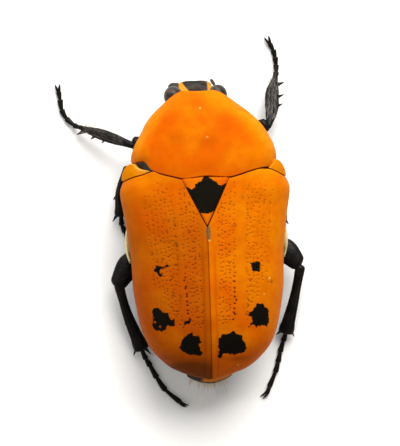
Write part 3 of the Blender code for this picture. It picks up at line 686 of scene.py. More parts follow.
def drawn_body(name: str, rings: int, sides: int, place: Callable[[Array, Array], Array]) -> Piece:
    """Closed body drawn from a sphere, row by row.

    Args:
        name: Name of the piece.
        rings: Number of cross-sections.
        sides: Points round each of them.
        place: Gives the points in millimetres for shares of the way and turns round it.

    Returns:
        The piece.
    """
    deselect_all()
    bpy.ops.mesh.primitive_uv_sphere_add(segments=sides, ring_count=rings + 1, radius=1.0)
    piece = named(name)
    unit = read_points(piece)
    step = np.rint(np.arccos(np.clip(unit[:, 2], -1, 1)) / math.pi * (rings + 1)).astype(int)
    share = np.clip((step - 1) / (rings - 1), 0.0, 1.0)
    points = place(share, np.arctan2(unit[:, 1], unit[:, 0]))
    for pole, ring in ((0, 1), (rings + 1, rings)):
        points[step == pole] = points[step == ring].mean(axis=0)
    write_points(piece, points * MM)
    face_outwards(piece)
    shade(piece)
    return piece


@dataclass(frozen=True)
class Bar:
    """Straight tapering piece that is drawn out section by section and then laid along a path.

    Attributes:
        sections: Share of the length, half width and half thickness of each section.
        sides: Points round a section.
        rings: Number of rings drawn through the sections.
        dome: Share of the length over which each end is rounded.
        smooth: Subdivision levels.
    """

    sections: Points
    sides: int = 14
    rings: int = 18
    dome: tuple[float, float] = (0.07, 0.07)
    smooth: int = 1

    def ring_sizes(self) -> Array:
        """Place, half width and half thickness of each ring.

        Returns:
            One row for each ring.
        """
        start, stop = self.sections[0][0], self.sections[-1][0]
        share = 0.5 - 0.5 * np.cos(math.pi * np.linspace(0, 1, self.rings))
        place = start + (stop - start) * share
        ends = np.minimum(share / self.dome[0], 1) * np.minimum((1 - share) / self.dome[1], 1)
        round_off = np.maximum(np.sqrt(1 - (1 - ends) ** 2), 0.12)
        swell = 3 / (2 + math.cos(math.tau / self.sides)) if self.smooth else 1.0
        wide = Curve([(section[0], section[1]) for section in self.sections])(place)
        thick = Curve([(section[0], section[2]) for section in self.sections])(place)
        return np.column_stack([place, wide * round_off * swell, thick * round_off * swell])

    def draw(self, name: str) -> Piece:
        """Draws the bar out along +Z, its length as 1.

        Args:
            name: Name of the piece.

        Returns:
            The straight piece.
        """
        rings = self.ring_sizes()
        place, wide, thick = rings[0]
        deselect_all()
        bpy.ops.mesh.primitive_circle_add(
            vertices=self.sides, radius=1.0, fill_type="NGON", location=(0, 0, place)
        )
        piece = named(name)
        bpy.ops.object.transform_apply(location=True)
        bpy.ops.object.mode_set(mode="EDIT")
        bpy.ops.mesh.select_all(action="SELECT")
        bpy.ops.transform.resize(value=(wide, thick, 1), center_override=(0, 0, place))
        for before, after in zip(rings, rings[1:]):
            step = (0, 0, after[0] - before[0])
            bpy.ops.mesh.extrude_region_move(TRANSFORM_OT_translate={"value": step})
            size = (after[1] / before[1], after[2] / before[2], 1)
            bpy.ops.transform.resize(value=size, center_override=(0, 0, after[0]))
        bpy.ops.mesh.select_all(action="SELECT")
        bpy.ops.mesh.normals_make_consistent(inside=False)
        bpy.ops.object.mode_set(mode="OBJECT")
        if self.smooth:
            finish_with(piece, "SUBSURF", levels=self.smooth, render_levels=self.smooth)
        return piece


@dataclass(frozen=True)
class Flutes:
    """Grooves along a bar."""

    count: int
    depth: float
    start: float = 0.1
    stop: float = 0.92

    def cut(self, points: Array) -> Array:
        """Grooves the straight bar.

        Args:
            points: Places of its points.

        Returns:
            The places after the cut.
        """
        turn = np.arctan2(points[:, 1], points[:, 0])
        fade = ease(points[:, 2], self.start, self.start + 0.1)
        fade *= 1 - ease(points[:, 2], self.stop - 0.1, self.stop)
        dent = self.depth * fade * (0.5 + 0.5 * np.cos(turn * self.count)) ** 2
        return points * np.column_stack([1 - dent, 1 - dent, np.ones_like(dent)])


def laid(
    bar: Bar,
    name: str,
    path: Points,
    up: Sequence[float] = (0, 0, 1),
    stretch: tuple[float, float] = (0.0, 1.0),
    flutes: Flutes | None = None,
) -> Piece:
    """Draws a bar and lays it along a path.

    Args:
        bar: Sections of the bar.
        name: Name of the piece.
        path: Points of the path.
        up: Direction that its flat side faces.
        stretch: Shares of the path where the bar starts and ends.
        flutes: Grooves to cut first.

    Returns:
        The piece, in place.
    """
    piece = bar.draw(name)
    points = read_points(piece)
    if flutes:
        points = flutes.cut(points)
    route = Route(path)
    share = stretch[0] + (stretch[1] - stretch[0]) * points[:, 2]
    across, over = route.frame(np.clip(share, 0, 1), up)
    placed = route.at(share) + across * points[:, :1] + over * points[:, 1:2]
    placed[:, 2] = np.maximum(placed[:, 2], 0.0)
    write_points(piece, placed * MM)
    face_outwards(piece)
    shade(piece, 60)
    return piece


# Shader maths and finishes


class Socket:
    """Value in a node tree that adds a Math node wherever it is used in an expression."""

    def __init__(self, shades: "Shades", output: bpy.types.NodeSocket) -> None:
        """Wraps an output socket of a material's tree."""
        self.shades = shades
        self.output = output

    def with_math(self, operation: str, *others: "Socket | float", clamp: bool = False) -> "Socket":
        """Adds a Math node.

        Args:
            operation: Its operation.
            *others: Its values, in order.
            clamp: Whether its result stays between 0 and 1.

        Returns:
            Its result.
        """
        settings = {"operation": operation, "use_clamp": clamp}
        return self.shades.add("ShaderNodeMath", settings, dict(enumerate(others)))

    def __add__(self, other: "Socket | float") -> "Socket":
        """Sum."""
        return self.with_math("ADD", self, other)

    __radd__ = __add__

    def __sub__(self, other: "Socket | float") -> "Socket":
        """Difference."""
        return self.with_math("SUBTRACT", self, other)

    def __rsub__(self, other: float) -> "Socket":
        """Difference from a number."""
        return self.with_math("SUBTRACT", other, self)

    def __mul__(self, other: "Socket | float") -> "Socket":
        """Product."""
        return self.with_math("MULTIPLY", self, other)

    __rmul__ = __mul__

    def __truediv__(self, other: float) -> "Socket":
        """Quotient."""
        return self.with_math("DIVIDE", self, other)

    def power(self, other: float) -> "Socket":
        """Power."""
        return self.with_math("POWER", self, other)

    def most(self, other: "Socket | float") -> "Socket":
        """Larger of two values."""
        return self.with_math("MAXIMUM", self, other)

    def held(self) -> "Socket":
        """Value held between 0 and 1."""
        return self.with_math("ADD", self, 0.0, clamp=True)

    def step(self, low: float, high: float) -> "Socket":
        """Smooth step from 0 at low to 1 at high, or down where low is the larger."""
        values = {"Value": self, "From Min": low, "From Max": high}
        return self.shades.add("ShaderNodeMapRange", {"interpolation_type": "SMOOTHSTEP"}, values)


class Shades:
    """Node tree of one material."""

    def __init__(self, name: str) -> None:
        """Starts a material with an empty Principled shader."""
        self.material = bpy.data.materials.new(name)
        self.material.use_nodes = True
        self.tree = self.material.node_tree
        self.shader = self.tree.nodes["Principled BSDF"]

    def add(self, kind: str, settings: dict, values: dict, output: int | str = 0) -> Socket:
        """Adds any node.

        Args:
            kind: Node type.
            settings: Its settings, set first.
            values: Values or links of its sockets, by name or number.
            output: The output to use.

        Returns:
            That output.
        """
        node = self.tree.nodes.new(kind)
        for name, value in settings.items():
            setattr(node, name, value)
        for name, value in values.items():
            self.feed(node.inputs[name], value)
        return Socket(self, node.outputs[output])

    def feed(self, target: bpy.types.NodeSocket, value: object) -> None:
        """Links a socket to another one, or sets its constant."""
        if isinstance(value, Socket):
            self.tree.links.new(value.output, target)
        elif isinstance(value, tuple) and target.type == "RGBA" and len(value) == 3:
            target.default_value = (*value, 1.0)
        else:
            target.default_value = value

    def dress(self, **values: object) -> None:
        """Sets or links the shader's own sockets, written with underscores for spaces."""
        for name, value in values.items():
            self.feed(self.shader.inputs[name.replace("_", " ").title().replace("Ior", "IOR")], value)

    def number(self, value: float) -> bpy.types.NodeSocket:
        """Output of a node that gives one number.

        Args:
            value: The number.

        Returns:
            The node's output.
        """
        node = self.tree.nodes.new("ShaderNodeValue")
        node.outputs[0].default_value = value
        return node.outputs[0]

    def place(self, stretch: tuple[float, float, float] = (1.0, 1.0, 1.0)) -> Socket:
        """Place on the piece in millimetres, stretched along each axis.

        Args:
            stretch: Stretch along each axis.

        Returns:
            The place.
        """
        object_place = self.add("ShaderNodeTexCoord", {}, {}, "Object")
        scale = tuple(axis / MM for axis in stretch)
        return self.add("ShaderNodeVectorMath", {"operation": "MULTIPLY"}, {0: object_place, 1: scale})

    def mark(self, name: str) -> Socket:
        """Number that the mesh keeps for its points."""
        return self.add("ShaderNodeAttribute", {"attribute_name": name}, {}, "Fac")

    def noise(self, scale: float, detail: float = 2.0, stretch: tuple = (1.0, 1.0, 1.0)) -> Socket:
        """Noise between 0 and 1.

        Args:
            scale: Waves per millimetre.
            detail: Finer layers.
            stretch: Stretch of the pattern along each axis.

        Returns:
            Its value.
        """
        values = {"Vector": self.place(stretch), "Scale": scale, "Detail": detail}
        return self.add("ShaderNodeTexNoise", {}, values, "Fac")

    def cells(self, scale: float, scatter: float = 1.0, stretch: tuple = (1.0, 1.0, 1.0)) -> Socket:
        """Distance to the nearest of many points.

        Args:
            scale: Points per millimetre.
            scatter: How unevenly they lie.
            stretch: Stretch of the pattern along each axis.

        Returns:
            The distance as a share of their spacing.
        """
        values = {"Vector": self.place(stretch), "Scale": scale, "Randomness": scatter}
        return self.add("ShaderNodeTexVoronoi", {}, values, "Distance")

    def blend(self, share: Socket | float, first: Socket | Colour, second: Socket | Colour) -> Socket:
        """Colour between two others.

        Args:
            share: Share of the second one.
            first: First colour.
            second: Second colour.

        Returns:
            The mixed colour.
        """
        settings = {"data_type": "RGBA", "clamp_factor": True}
        return self.add("ShaderNodeMix", settings, {0: share, 6: first, 7: second}, 2)

    def relief(self, height: Socket) -> Socket:
        """Bump from heights in millimetres."""
        return self.add("ShaderNodeBump", {}, {"Height": height, "Distance": MM, "Strength": 1.0})


@dataclass(frozen=True)
class OrangeCuticle:
    """Waxy orange cuticle with black spots, punctures and a dark seam, and the painted highlight and shade
    that its marks carry.
    """

    name: str = "orange_cuticle"
    base: Colour = (0.49, 0.081, 0.0004)
    # The yellower colour below is also painted highlight through its mark, and the deeper and brown colours
    # are also painted shade through theirs.
    warm: Colour = (0.57, 0.185, 0.0008)
    deep: Colour = (0.36, 0.054, 0.0004)
    brown: Colour = (0.075, 0.018, 0.002)
    spot: Colour = (0.0045, 0.0040, 0.0030)
    scar: Colour = (0.13, 0.072, 0.025)
    fleck: Colour = (0.52, 0.32, 0.06)
    pore: Colour = (0.035, 0.008, 0.002)
    seam: Colour = (0.13, 0.020, 0.001)
    roughness: float = 0.52

    def material(self) -> bpy.types.Material:
        """Builds the material.

        Returns:
            The material.
        """
        shades = Shades(self.name)
        broad = shades.noise(0.35, 2.0).step(0.35, 0.7)
        cloudy = shades.noise(1.3, 3.0).step(0.38, 0.72)
        fine = shades.noise(14.0, 2.0)
        colour = shades.blend(broad * 0.45, self.base, self.warm)
        # Yellower where the mesh marks it: partly the cuticle's own tone, partly painted highlight and
        # painted light.
        colour = shades.blend(shades.mark("warm"), colour, self.warm)
        colour = shades.blend(cloudy * 0.28, colour, self.deep)
        # Deeper where the mesh marks it: painted shade in the groove by the suture, over the rear slope, on
        # the left case and along the pronotum's hind edge; also the pronotum's dimple places and the shield's
        # edges.
        colour = shades.blend((shades.mark("deep") + (fine - 0.5) * 0.12).held(), colour, self.deep)
        # Brown where the mesh marks it: small brown marks, and painted shade over the rear slope and the left
        # case.
        colour = shades.blend(shades.mark("brown") * 0.85, colour, self.brown)
        pore = self.pore_share(shades)
        colour = shades.blend(pore * shades.mark("pore_tone"), colour, self.pore)
        colour = shades.blend(shades.mark("seam"), colour, self.seam)
        ragged = (shades.noise(3.4, 2.0) - 0.5) * 0.34 + (shades.noise(11.0, 2.0) - 0.5) * 0.16
        spotted = (shades.mark("spot") + ragged).step(-0.035, 0.035)
        speck = shades.noise(5.0, 3.0).step(0.55, 0.8)
        black = shades.blend(speck * 0.5, self.spot, (0.012, 0.011, 0.008))
        colour = shades.blend(spotted, colour, black)
        torn = (shades.noise(4.0, 3.0) - 0.5) * 1.6
        colour = shades.blend((shades.mark("scar") + torn).step(0.3, 0.8) * 0.9, colour, self.scar)
        # Pale where the mesh marks it: small pale flecks, and the painted highlight along the front edge of
        # the shoulder wedges.
        colour = shades.blend(shades.mark("fleck"), colour, self.fleck)
        grain = shades.noise(9.0, 4.0) * 0.006 + shades.noise(30.0, 2.0) * 0.002
        wrinkle = shades.noise(2.6, 3.0, (0.35, 1.6, 0.35)) * shades.mark("wrinkle") * 0.02
        shades.dress(
            base_color=colour,
            roughness=self.roughness + (fine - 0.5) * 0.16 + spotted * 0.06,
            normal=shades.relief(grain + wrinkle - spotted * 0.008 - pore * 0.025),
            specular_ior_level=0.02,
            specular_tint=(1.0, 0.6, 0.2),
        )
        return shades.material

    def pore_share(self, shades: Shades) -> Socket:
        """How deep a place lies in a puncture, from the offsets that the mesh keeps.

        Args:
            shades: Node tree of the material.

        Returns:
            Share from 0 to 1.
        """
        offsets = [shades.mark(f"pore_{axis}") for axis in "xyz"]
        away = sum((offset * offset for offset in offsets), Socket(shades, shades.number(0.0))).power(0.5)
        away = away.most(shades.mark("pore_away") - 0.55)
        return away.step(1.3, 0.35)


@dataclass(frozen=True)
class BlackCuticle:
    """Polished black cuticle with fine punctures."""

    name: str
    base: Colour = (0.0050, 0.0046, 0.0046)
    brown: Colour = (0.016, 0.010, 0.008)
    band: Colour = (0.40, 0.09, 0.004)
    roughness: float = 0.2
    pores: float = 3.2
    depth: float = 0.03
    gloss: float = 0.35

    def material(self) -> bpy.types.Material:
        """Builds the material.

        Returns:
            The material.
        """
        shades = Shades(self.name)
        patches = shades.noise(0.9, 3.0).step(0.45, 0.75)
        colour = shades.blend(patches * 0.6, self.base, self.brown)
        colour = shades.blend(shades.mark("band"), colour, self.band)
        pores = shades.cells(self.pores).step(0.34, 0.12)
        fine = shades.noise(22.0, 3.0)
        shades.dress(
            base_color=colour,
            roughness=self.roughness + pores * 0.2 + (fine - 0.5) * 0.18,
            normal=shades.relief(fine * 0.004 - pores * self.depth + shades.noise(2.2, 2.0) * 0.03),
            specular_ior_level=self.gloss,
        )
        return shades.material


@dataclass(frozen=True)
class PaleCuticle:
    """Chalky cream-yellow cuticle."""

    name: str = "pale_cuticle"
    base: Colour = (0.62, 0.52, 0.22)
    stain: Colour = (0.40, 0.26, 0.07)

    def material(self) -> bpy.types.Material:
        """Builds the material.

        Returns:
            The material.
        """
        shades = Shades(self.name)
        stains = shades.noise(1.4, 4.0).step(0.5, 0.78)
        grain = shades.noise(18.0, 3.0)
        shades.dress(
            base_color=shades.blend(stains * 0.8, self.base, self.stain),
            roughness=0.55 + (grain - 0.5) * 0.2,
            normal=shades.relief(grain * 0.008 + shades.noise(3.0, 2.0) * 0.02),
            specular_ior_level=0.4,
        )
        return shades.material


@dataclass(frozen=True)
class FacetedEye:
    """Dull purplish-brown eye with fine facets."""

    name: str = "faceted_eye"
    base: Colour = (0.008, 0.005, 0.0035)
    bloom: Colour = (0.060, 0.040, 0.028)

    def material(self) -> bpy.types.Material:
        """Builds the material.

        Returns:
            The material.
        """
        shades = Shades(self.name)
        patches = shades.noise(1.5, 3.0).step(0.42, 0.74)
        facets = shades.cells(16.0, 0.25)
        shades.dress(
            base_color=shades.blend(patches, self.base, self.bloom),
            roughness=0.34 + patches * 0.2,
            normal=shades.relief(facets * -0.012),
            specular_ior_level=0.25,
        )
        return shades.material


@dataclass(frozen=True)
class Seta:
    """Straw-coloured hair of the underside and legs."""

    name: str = "seta"
    pale: Colour = (0.80, 0.70, 0.52)
    tawny: Colour = (0.50, 0.34, 0.17)

    def material(self) -> bpy.types.Material:
        """Builds the material.

        Returns:
            The material.
        """
        shades = Shades(self.name)
        tone = shades.noise(0.8, 2.0).step(0.3, 0.7)
        shades.dress(
            base_color=shades.blend(tone, self.pale, self.tawny),
            roughness=0.42 + tone * 0.1,
            specular_ior_level=0.5,
        )
        return shades.material


@dataclass(frozen=True)
class Paper:
    """White paper under the animal."""

    name: str = "paper"
    base: Colour = (0.93, 0.93, 0.935)
    fibre: Colour = (0.90, 0.905, 0.91)

    def material(self) -> bpy.types.Material:
        """Builds the material.

        Returns:
            The material.
        """
        shades = Shades(self.name)
        fibres = shades.noise(0.6, 4.0)
        shades.dress(
            base_color=shades.blend(fibres, self.base, self.fibre),
            roughness=0.85 + fibres * 0.1,
            normal=shades.relief(shades.noise(2.5, 4.0) * 0.01),
            specular_ior_level=0.2,
        )
        return shades.material


class Wardrobe:
    """Every finish of the beetle, made once."""

    def __init__(self) -> None:
        """Builds the materials."""
        self.orange = OrangeCuticle().material()
        self.black = BlackCuticle("black_cuticle", roughness=0.27, gloss=0.26).material()
        self.feeler = BlackCuticle(
            "feeler_cuticle", base=(0.035, 0.031, 0.027), brown=(0.11, 0.095, 0.08),
            roughness=0.5, pores=5.0, depth=0.01, gloss=0.1,
        ).material()
        self.leg = BlackCuticle(
            "leg_cuticle", base=(0.0036, 0.0031, 0.0026), roughness=0.38, pores=3.0, depth=0.02, gloss=0.11
        ).material()
        self.head = BlackCuticle(
            "head_cuticle", base=(0.012, 0.0085, 0.006), brown=(0.060, 0.042, 0.030),
            band=(0.56, 0.19, 0.0006), roughness=0.5, pores=5.0, depth=0.02, gloss=0.05,
        ).material()
        self.tail = BlackCuticle(
            "tail_cuticle", base=(0.006, 0.004, 0.003), band=(0.48, 0.13, 0.002),
            roughness=0.5, pores=5.0, gloss=0.06,
        ).material()
        self.pale = PaleCuticle().material()
        self.eye = FacetedEye().material()
        self.seta = Seta().material()
        self.pile = Seta("pile", (0.055, 0.043, 0.030), (0.028, 0.020, 0.013)).material()
        self.paper = Paper().material()


class Beetle:
    """Pieces of the animal, with what each one stands for."""

    def __init__(self, wardrobe: Wardrobe) -> None:
        """Starts an empty list of pieces."""
        self.wardrobe = wardrobe
        self.pieces: list[Piece] = []

    def keep(self, piece: Piece, finish: bpy.types.Material, slot: Slot, *nodes: str) -> None:
        """Dresses a finished piece and puts it on the body.

        Args:
            piece: Finished piece.
            finish: Its material.
            slot: The record's slot that it belongs to; not used.
            *nodes: Solids that it stands for.
        """
        piece.data.materials.clear()
        piece.data.materials.append(finish)
        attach(piece, BODY)
        if nodes:
            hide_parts(*nodes)
        self.pieces.append(piece)
        stands_for = ", ".join(nodes) or "none"
        log.info("%s: %d faces, stands for %s", piece.name, len(piece.data.polygons), stands_for)


@dataclass
class WingCase:
    """One wing case: a curved shell with rows of punctures, a raised sutural strip and black spots.

    Attributes:
        seam_half: Half of the gap along the suture.
        pit_rows: Place across of each row of punctures, as shares of the half width.
        pit_radius: Least and greatest radius of a puncture.
        strip_width: Width of the raised strip along the suture.
        strong_rows: Rows whose rear punctures are the largest and darkest.
        row_wander: How unevenly punctures lie, as a share across and in millimetres along.
        pit_tone: Least and greatest darkness of a puncture.
        rib: Shares of the half width between which the smooth rib stands.
        tan: Strength of the painted shade over each whole case, which darkens the left one.
        dusk: How much painted shade darkens each case behind its shoulder.
        glow: How much painted light makes each case yellower, away from the suture and ahead of its rear
            slope.
        spots: Outlines of the black spots on each side.
        spot_holes: Place and radius of the orange holes in the spots.
        brown_marks: Place, reach across and along, and strength of each brown mark or band of painted shade.
        flecks: Place and radius of the pale flecks.
    """

    side: Side
    rows: int = 330
    columns: int = 138
    wall: float = 0.5
    seam_half: float = 0.005
    pit_rows: dict[Side, tuple[float, ...]] = by_side(
        (0.115, 0.165, 0.205, 0.25, 0.31, 0.41, 0.46, 0.505, 0.555, 0.61, 0.67, 0.73),
        (0.14, 0.18, 0.225, 0.275, 0.335, 0.5, 0.54, 0.585, 0.64, 0.70, 0.77),
    )
    strong_rows: tuple[float, float] = (0.335, 0.31)
    strong_radius: float = 0.1
    strong_tone: float = 0.95
    row_front: float = 4.6
    row_rear: float = -8.9
    row_wander: tuple[float, float] = (0.009, 0.09)
    pit_spacing: float = 0.37
    pit_radius: tuple[float, float] = (0.055, 0.085)
    pit_depth: float = 0.035
    pit_tone: tuple[float, float] = (0.15, 0.66)
    pits_missing: float = 0.06
    furrow_width: float = 0.14
    furrow_depth: float = 0.016
    groove_depth: float = 0.03
    wave_height: float = 0.018
    seam_tone: float = 0.9
    strip_width: float = 0.46
    strip_height: float = 0.06
    rib: dict[Side, tuple[float, float]] = by_side((0.335, 0.4), (0.37, 0.48))
    rib_height: float = 0.05
    tan: dict[Side, float] = by_side(0.3, 0.0)
    dusk: dict[Side, float] = by_side(0.34, 0.0)
    glow: dict[Side, float] = by_side(0.0, 0.35)
    spots: dict[Side, tuple[Points, ...]] = by_side(
        (
            (
                (-5.27, -6.62), (-4.97, -6.44), (-4.66, -6.48), (-4.45, -6.74), (-3.86, -6.98),
                (-3.56, -7.57), (-3.31, -7.6), (-3.24, -8.18), (-3.89, -8.13), (-4.13, -8.45),
                (-4.41, -8.57), (-5.04, -8.46), (-5.32, -8.07), (-5.17, -7.53), (-5.31, -6.82),
            ),
            (
                (-2.39, -7.6), (-2.3, -7.76), (-2.01, -7.68), (-1.81, -7.5), (-1.86, -7.81),
                (-2.02, -8.0), (-2.38, -8.05),
            ),
            (
                (-2.94, -10.23), (-2.73, -9.65), (-2.47, -9.21), (-1.95, -8.87), (-1.7, -8.75),
                (-1.68, -9.08), (-1.14, -9.12), (-0.89, -9.71), (-1.15, -9.87), (-1.0, -10.42),
                (-0.79, -10.69), (-0.99, -10.95), (-1.75, -10.82), (-2.13, -10.81), (-2.44, -10.57),
            ),
            (
                (-4.86, -2.52), (-4.45, -2.66), (-4.1, -2.7), (-3.7, -2.54), (-3.62, -2.74),
                (-4.07, -2.9), (-4.36, -2.92), (-4.42, -3.2), (-4.18, -3.52), (-4.42, -3.62),
                (-4.66, -3.32), (-4.98, -3.06), (-4.78, -2.86),
            ),
        ),
        (
            (
                (4.28, -6.34), (4.93, -6.43), (5.02, -6.72), (5.31, -6.96), (5.35, -8.06), (5.14, -8.56),
                (4.68, -8.37), (4.09, -8.53), (3.84, -8.3), (3.45, -8.5), (3.81, -7.98), (3.75, -7.65),
                (3.25, -7.37), (3.29, -7.12), (3.61, -7.13), (4.14, -6.67),
            ),
            (
                (0.64, -9.61), (0.93, -9.14), (1.31, -9.02), (1.76, -8.98), (2.09, -8.7), (2.28, -8.97),
                (2.79, -9.28), (2.91, -9.74), (3.1, -10.01), (3.16, -10.4), (3.02, -10.76),
                (2.04, -11.0), (1.15, -10.74), (0.82, -11.38), (0.57, -11.2), (0.68, -10.75),
            ),
            (
                (3.81, -2.6), (4.07, -2.68), (4.35, -2.57), (4.71, -2.66), (4.65, -3.5), (4.32, -3.4),
                (3.98, -3.55), (3.86, -3.05),
            ),
        ),
    )
    spot_holes: Points = ((-5.05, -7.75, 0.1), (-4.59, -8.18, 0.11), (3.46, -7.29, 0.07))
    brown_marks: Points = (
        (-2.0, -12.0, 2.0, 0.75, 0.5), (-4.2, -11.1, 1.2, 0.3, 0.3), (2.4, -11.35, 1.2, 0.3, 0.45),
        (5.7, -4.45, 0.1, 0.14, 0.9), (-2.63, -5.5, 0.13, 0.17, 0.5), (2.4, 0.75, 0.2, 0.16, 0.5),
        (3.3, 3.3, 0.2, 0.25, 0.4), (-2.85, -0.75, 0.14, 0.2, 0.55), (-2.9, 1.1, 0.16, 0.2, 0.35),
        (-2.75, -1.85, 0.1, 0.15, 0.4), (-3.6, 1.6, 0.5, 0.12, 0.25), (-3.1, -2.6, 0.6, 0.1, 0.2),
        (-3.3, -0.4, 0.6, 0.09, 0.25),
    )
    flecks: Points = ((5.5, -4.1, 0.13), (4.97, -5.54, 0.08), (2.42, -11.95, 0.08), (0.14, -0.5, 0.12))
    SPREAD_POWER = 1.3
    FAR = 4.0

    def spread(self, share: Array) -> Array:
        """Turn share of a column's place across, so that columns lie evenly over the shell."""
        rise = share**self.SPREAD_POWER
        return rise / (rise + (1 - share) ** self.SPREAD_POWER)

    def surface(self, along: Array, turn_share: Array) -> Array:
        """Places on the shell, as they lie on the right side.

        Args:
            along: Shares of the way from the front corner round the edge to the tip.
            turn_share: Shares of the turn from the suture to the rim.

        Returns:
            The places.
        """
        plan = Route(CASE_EDGE).at(along)
        rim = Curve(CASE_RIM)(plan[..., 1])
        ridge = Curve(CASE_RIDGE)(plan[..., 1])
        start = self.start_turn(plan)
        turn = start + (math.pi / 2 - start) * turn_share
        x = plan[..., 0] * np.sin(turn) ** (2 / CASE_POWER)
        share = np.maximum(0.0, np.cos(turn)) ** (2 / CASE_POWER)
        fade = np.maximum(0.0, 1.0 - along * 3.0) ** 2
        y = plan[..., 1] + (Curve(CASE_FRONT[self.side.name])(x) - CASE_EDGE[0][1]) * fade
        drop = CASE_SHOULDER_DROP * fade * Curve(CASE_DROP_SHARE)(x)
        bulge = sum(
            high * np.exp(-((x - at_x) ** 2 + (y - at_y) ** 2) / reach**2)
            for at_x, at_y, reach, high in CASE_BULGES
        )
        return np.stack([x, y, rim + (ridge - rim + bulge - drop) * share], axis=-1)

    def start_turn(self, plan: Array) -> Array:
        """Turn at which the shell leaves the suture or the shield's edge.

        Args:
            plan: Places on the case's edge.

        Returns:
            The turn at each place.
        """
        shield = (plan[..., 1] - SHIELD_TIP) * SHIELD_HALF_WIDTH / (SHIELD_FRONT - SHIELD_TIP)
        suture = np.maximum(self.seam_half, shield + 0.1)
        return np.arcsin(np.minimum(1.0, (suture / plan[..., 0]) ** (CASE_POWER / 2)))

    def even_along(self, share: Array) -> Array:
        """Shares of the edge route that lie evenly over its length.

        Args:
            share: Shares of the length.

        Returns:
            Shares of the route.
        """
        fine = np.linspace(0, 1, 400)
        steps = np.linalg.norm(np.diff(Route(CASE_EDGE).at(fine), axis=0), axis=1)
        length = np.concatenate([[0.0], np.cumsum(steps)])
        return np.interp(share * length[-1], length, fine)

    def pits(self) -> tuple[Array, Array, Array]:
        """Places, radii and darkness of the punctures, as they lie on the right side.

        Returns:
            One place, one radius and one darkness for each puncture.
        """
        draw = np.random.default_rng(11 + self.side.value)
        fine = np.linspace(0, 1, 600)
        plan = Route(CASE_EDGE).at(fine)
        centres, radii, darkness = [], [], []
        for across in self.pit_rows[self.side]:
            strong = across in self.strong_rows
            front = self.row_front - 3.0 * max(0.0, across - 0.5) - draw.uniform(0, 0.6)
            rear = self.row_rear + 3.6 * ease(across, 0.45, 0.75) + draw.uniform(0, 0.8)
            count = int((front - rear) / self.pit_spacing)
            sideways, lengthways = self.row_wander
            y = front - np.arange(count) * self.pit_spacing + draw.normal(0, lengthways, count)
            along = np.interp(-y, -plan[:, 1], fine)
            edge = Route(CASE_EDGE).at(along)
            start = self.start_turn(edge)
            place = np.clip(across + draw.normal(0, sideways, count), 0, 1)
            turn = np.arcsin(place ** (CASE_POWER / 2))
            clear = turn > start * 1.04 + 0.012
            share = (turn - start) / (math.pi / 2 - start)
            kept = clear & (draw.uniform(size=count) > self.pits_missing)
            dark = draw.uniform(*self.pit_tone, count) * (1 - 0.35 * ease(across, 0.4, 0.8))
            size = draw.uniform(*self.pit_radius, count)
            rear_share = ease(-y, 2.5, 4.5) * strong
            dark = dark + (self.strong_tone - dark) * rear_share
            size = size + (self.strong_radius - size) * rear_share
            centres.append(self.surface(along[kept], share[kept]))
            radii.append(size[kept])
            darkness.append(dark[kept])
        return np.concatenate(centres), np.concatenate(radii), np.concatenate(darkness)

    def dented(self, points: Array) -> dict[str, Array]:
        """Offset of each place from the nearest puncture, in its radii, and its darkness.

        Args:
            points: Places on the shell.

        Returns:
            The marks by name.
        """
        nearest = np.full(points.shape[:-1], self.FAR)
        offset = np.full(points.shape, self.FAR)
        tone = np.zeros(points.shape[:-1])
        for centre, radius, dark in zip(*self.pits()):
            near = np.abs(points[..., 1] - centre[1]) < radius * self.FAR
            way = (points[near] - centre) / radius
            away = np.linalg.norm(way, axis=-1)
            closer = away < nearest[near]
            nearest[near] = np.where(closer, away, nearest[near])
            offset[near] = np.where(closer[:, None], way, offset[near])
            tone[near] = np.where(closer, dark, tone[near])
        marks = {f"pore_{axis}": offset[..., k] for k, axis in enumerate("xyz")}
        return marks | {"pore_away": nearest, "pore_tone": tone}

    def relief(self, sheet: Sheet, half: Array, suture: Array) -> Array:
        """Heights of the strip, the rib and the shallow furrows.

        Args:
            sheet: The shell.
            half: Half width at each point's row.
            suture: Distance of each point from the suture.

        Returns:
            The height at each point.
        """
        across = sheet.points[..., 0] / half
        y = sheet.points[..., 1]
        behind_shield = 1 - ease(y, SHIELD_TIP - 1.5, SHIELD_TIP + 0.6)
        strip = (1 - ease(suture, self.strip_width * 0.75, self.strip_width * 1.1)) * behind_shield
        groove = bell(suture - self.strip_width * 1.35, self.furrow_width) * behind_shield
        whole = between(-y, -4.5, -2.5, 8.5, 11.0)
        low, high = self.rib[self.side]
        rib = between(across, low - 0.03, low + 0.03, high - 0.03, high + 0.03) * whole
        furrows = sum(bell((across - row) * half, self.furrow_width) for row in self.pit_rows[self.side])
        waves = ripple(sheet.points[..., 0], y, 2.4, 5 + self.side.value) * self.wave_height
        raised = self.strip_height * strip - self.groove_depth * groove + self.rib_height * rib
        return raised - self.furrow_depth * furrows * whole + waves

    def spot_depth(self, x: Array, y: Array) -> Array:
        """How far places lie inside the black spots, with the spots' orange holes left out.

        Args:
            x: Places across the animal.
            y: Places along it.

        Returns:
            Depths in millimetres, negative outside the spots.
        """
        depth = np.max([outline_depth(x, y, spot) for spot in self.spots[self.side]], axis=0)
        for at_x, at_y, radius in self.spot_holes:
            depth = np.minimum(depth, np.hypot(x - at_x, y - at_y) - radius)
        return depth

    def brown_patches(self, x: Array, y: Array) -> Array:
        """Strength of the small brown marks and of the bands of painted shade over the rear slope.

        Args:
            x: Places across the animal.
            y: Places along it.

        Returns:
            The strength at each place.
        """
        strength = np.zeros_like(x)
        for at_x, at_y, reach_x, reach_y, tone in self.brown_marks:
            patch = bell(x - at_x, reach_x) * bell(y - at_y, reach_y)
            strength = np.maximum(strength, tone * patch)
        return strength

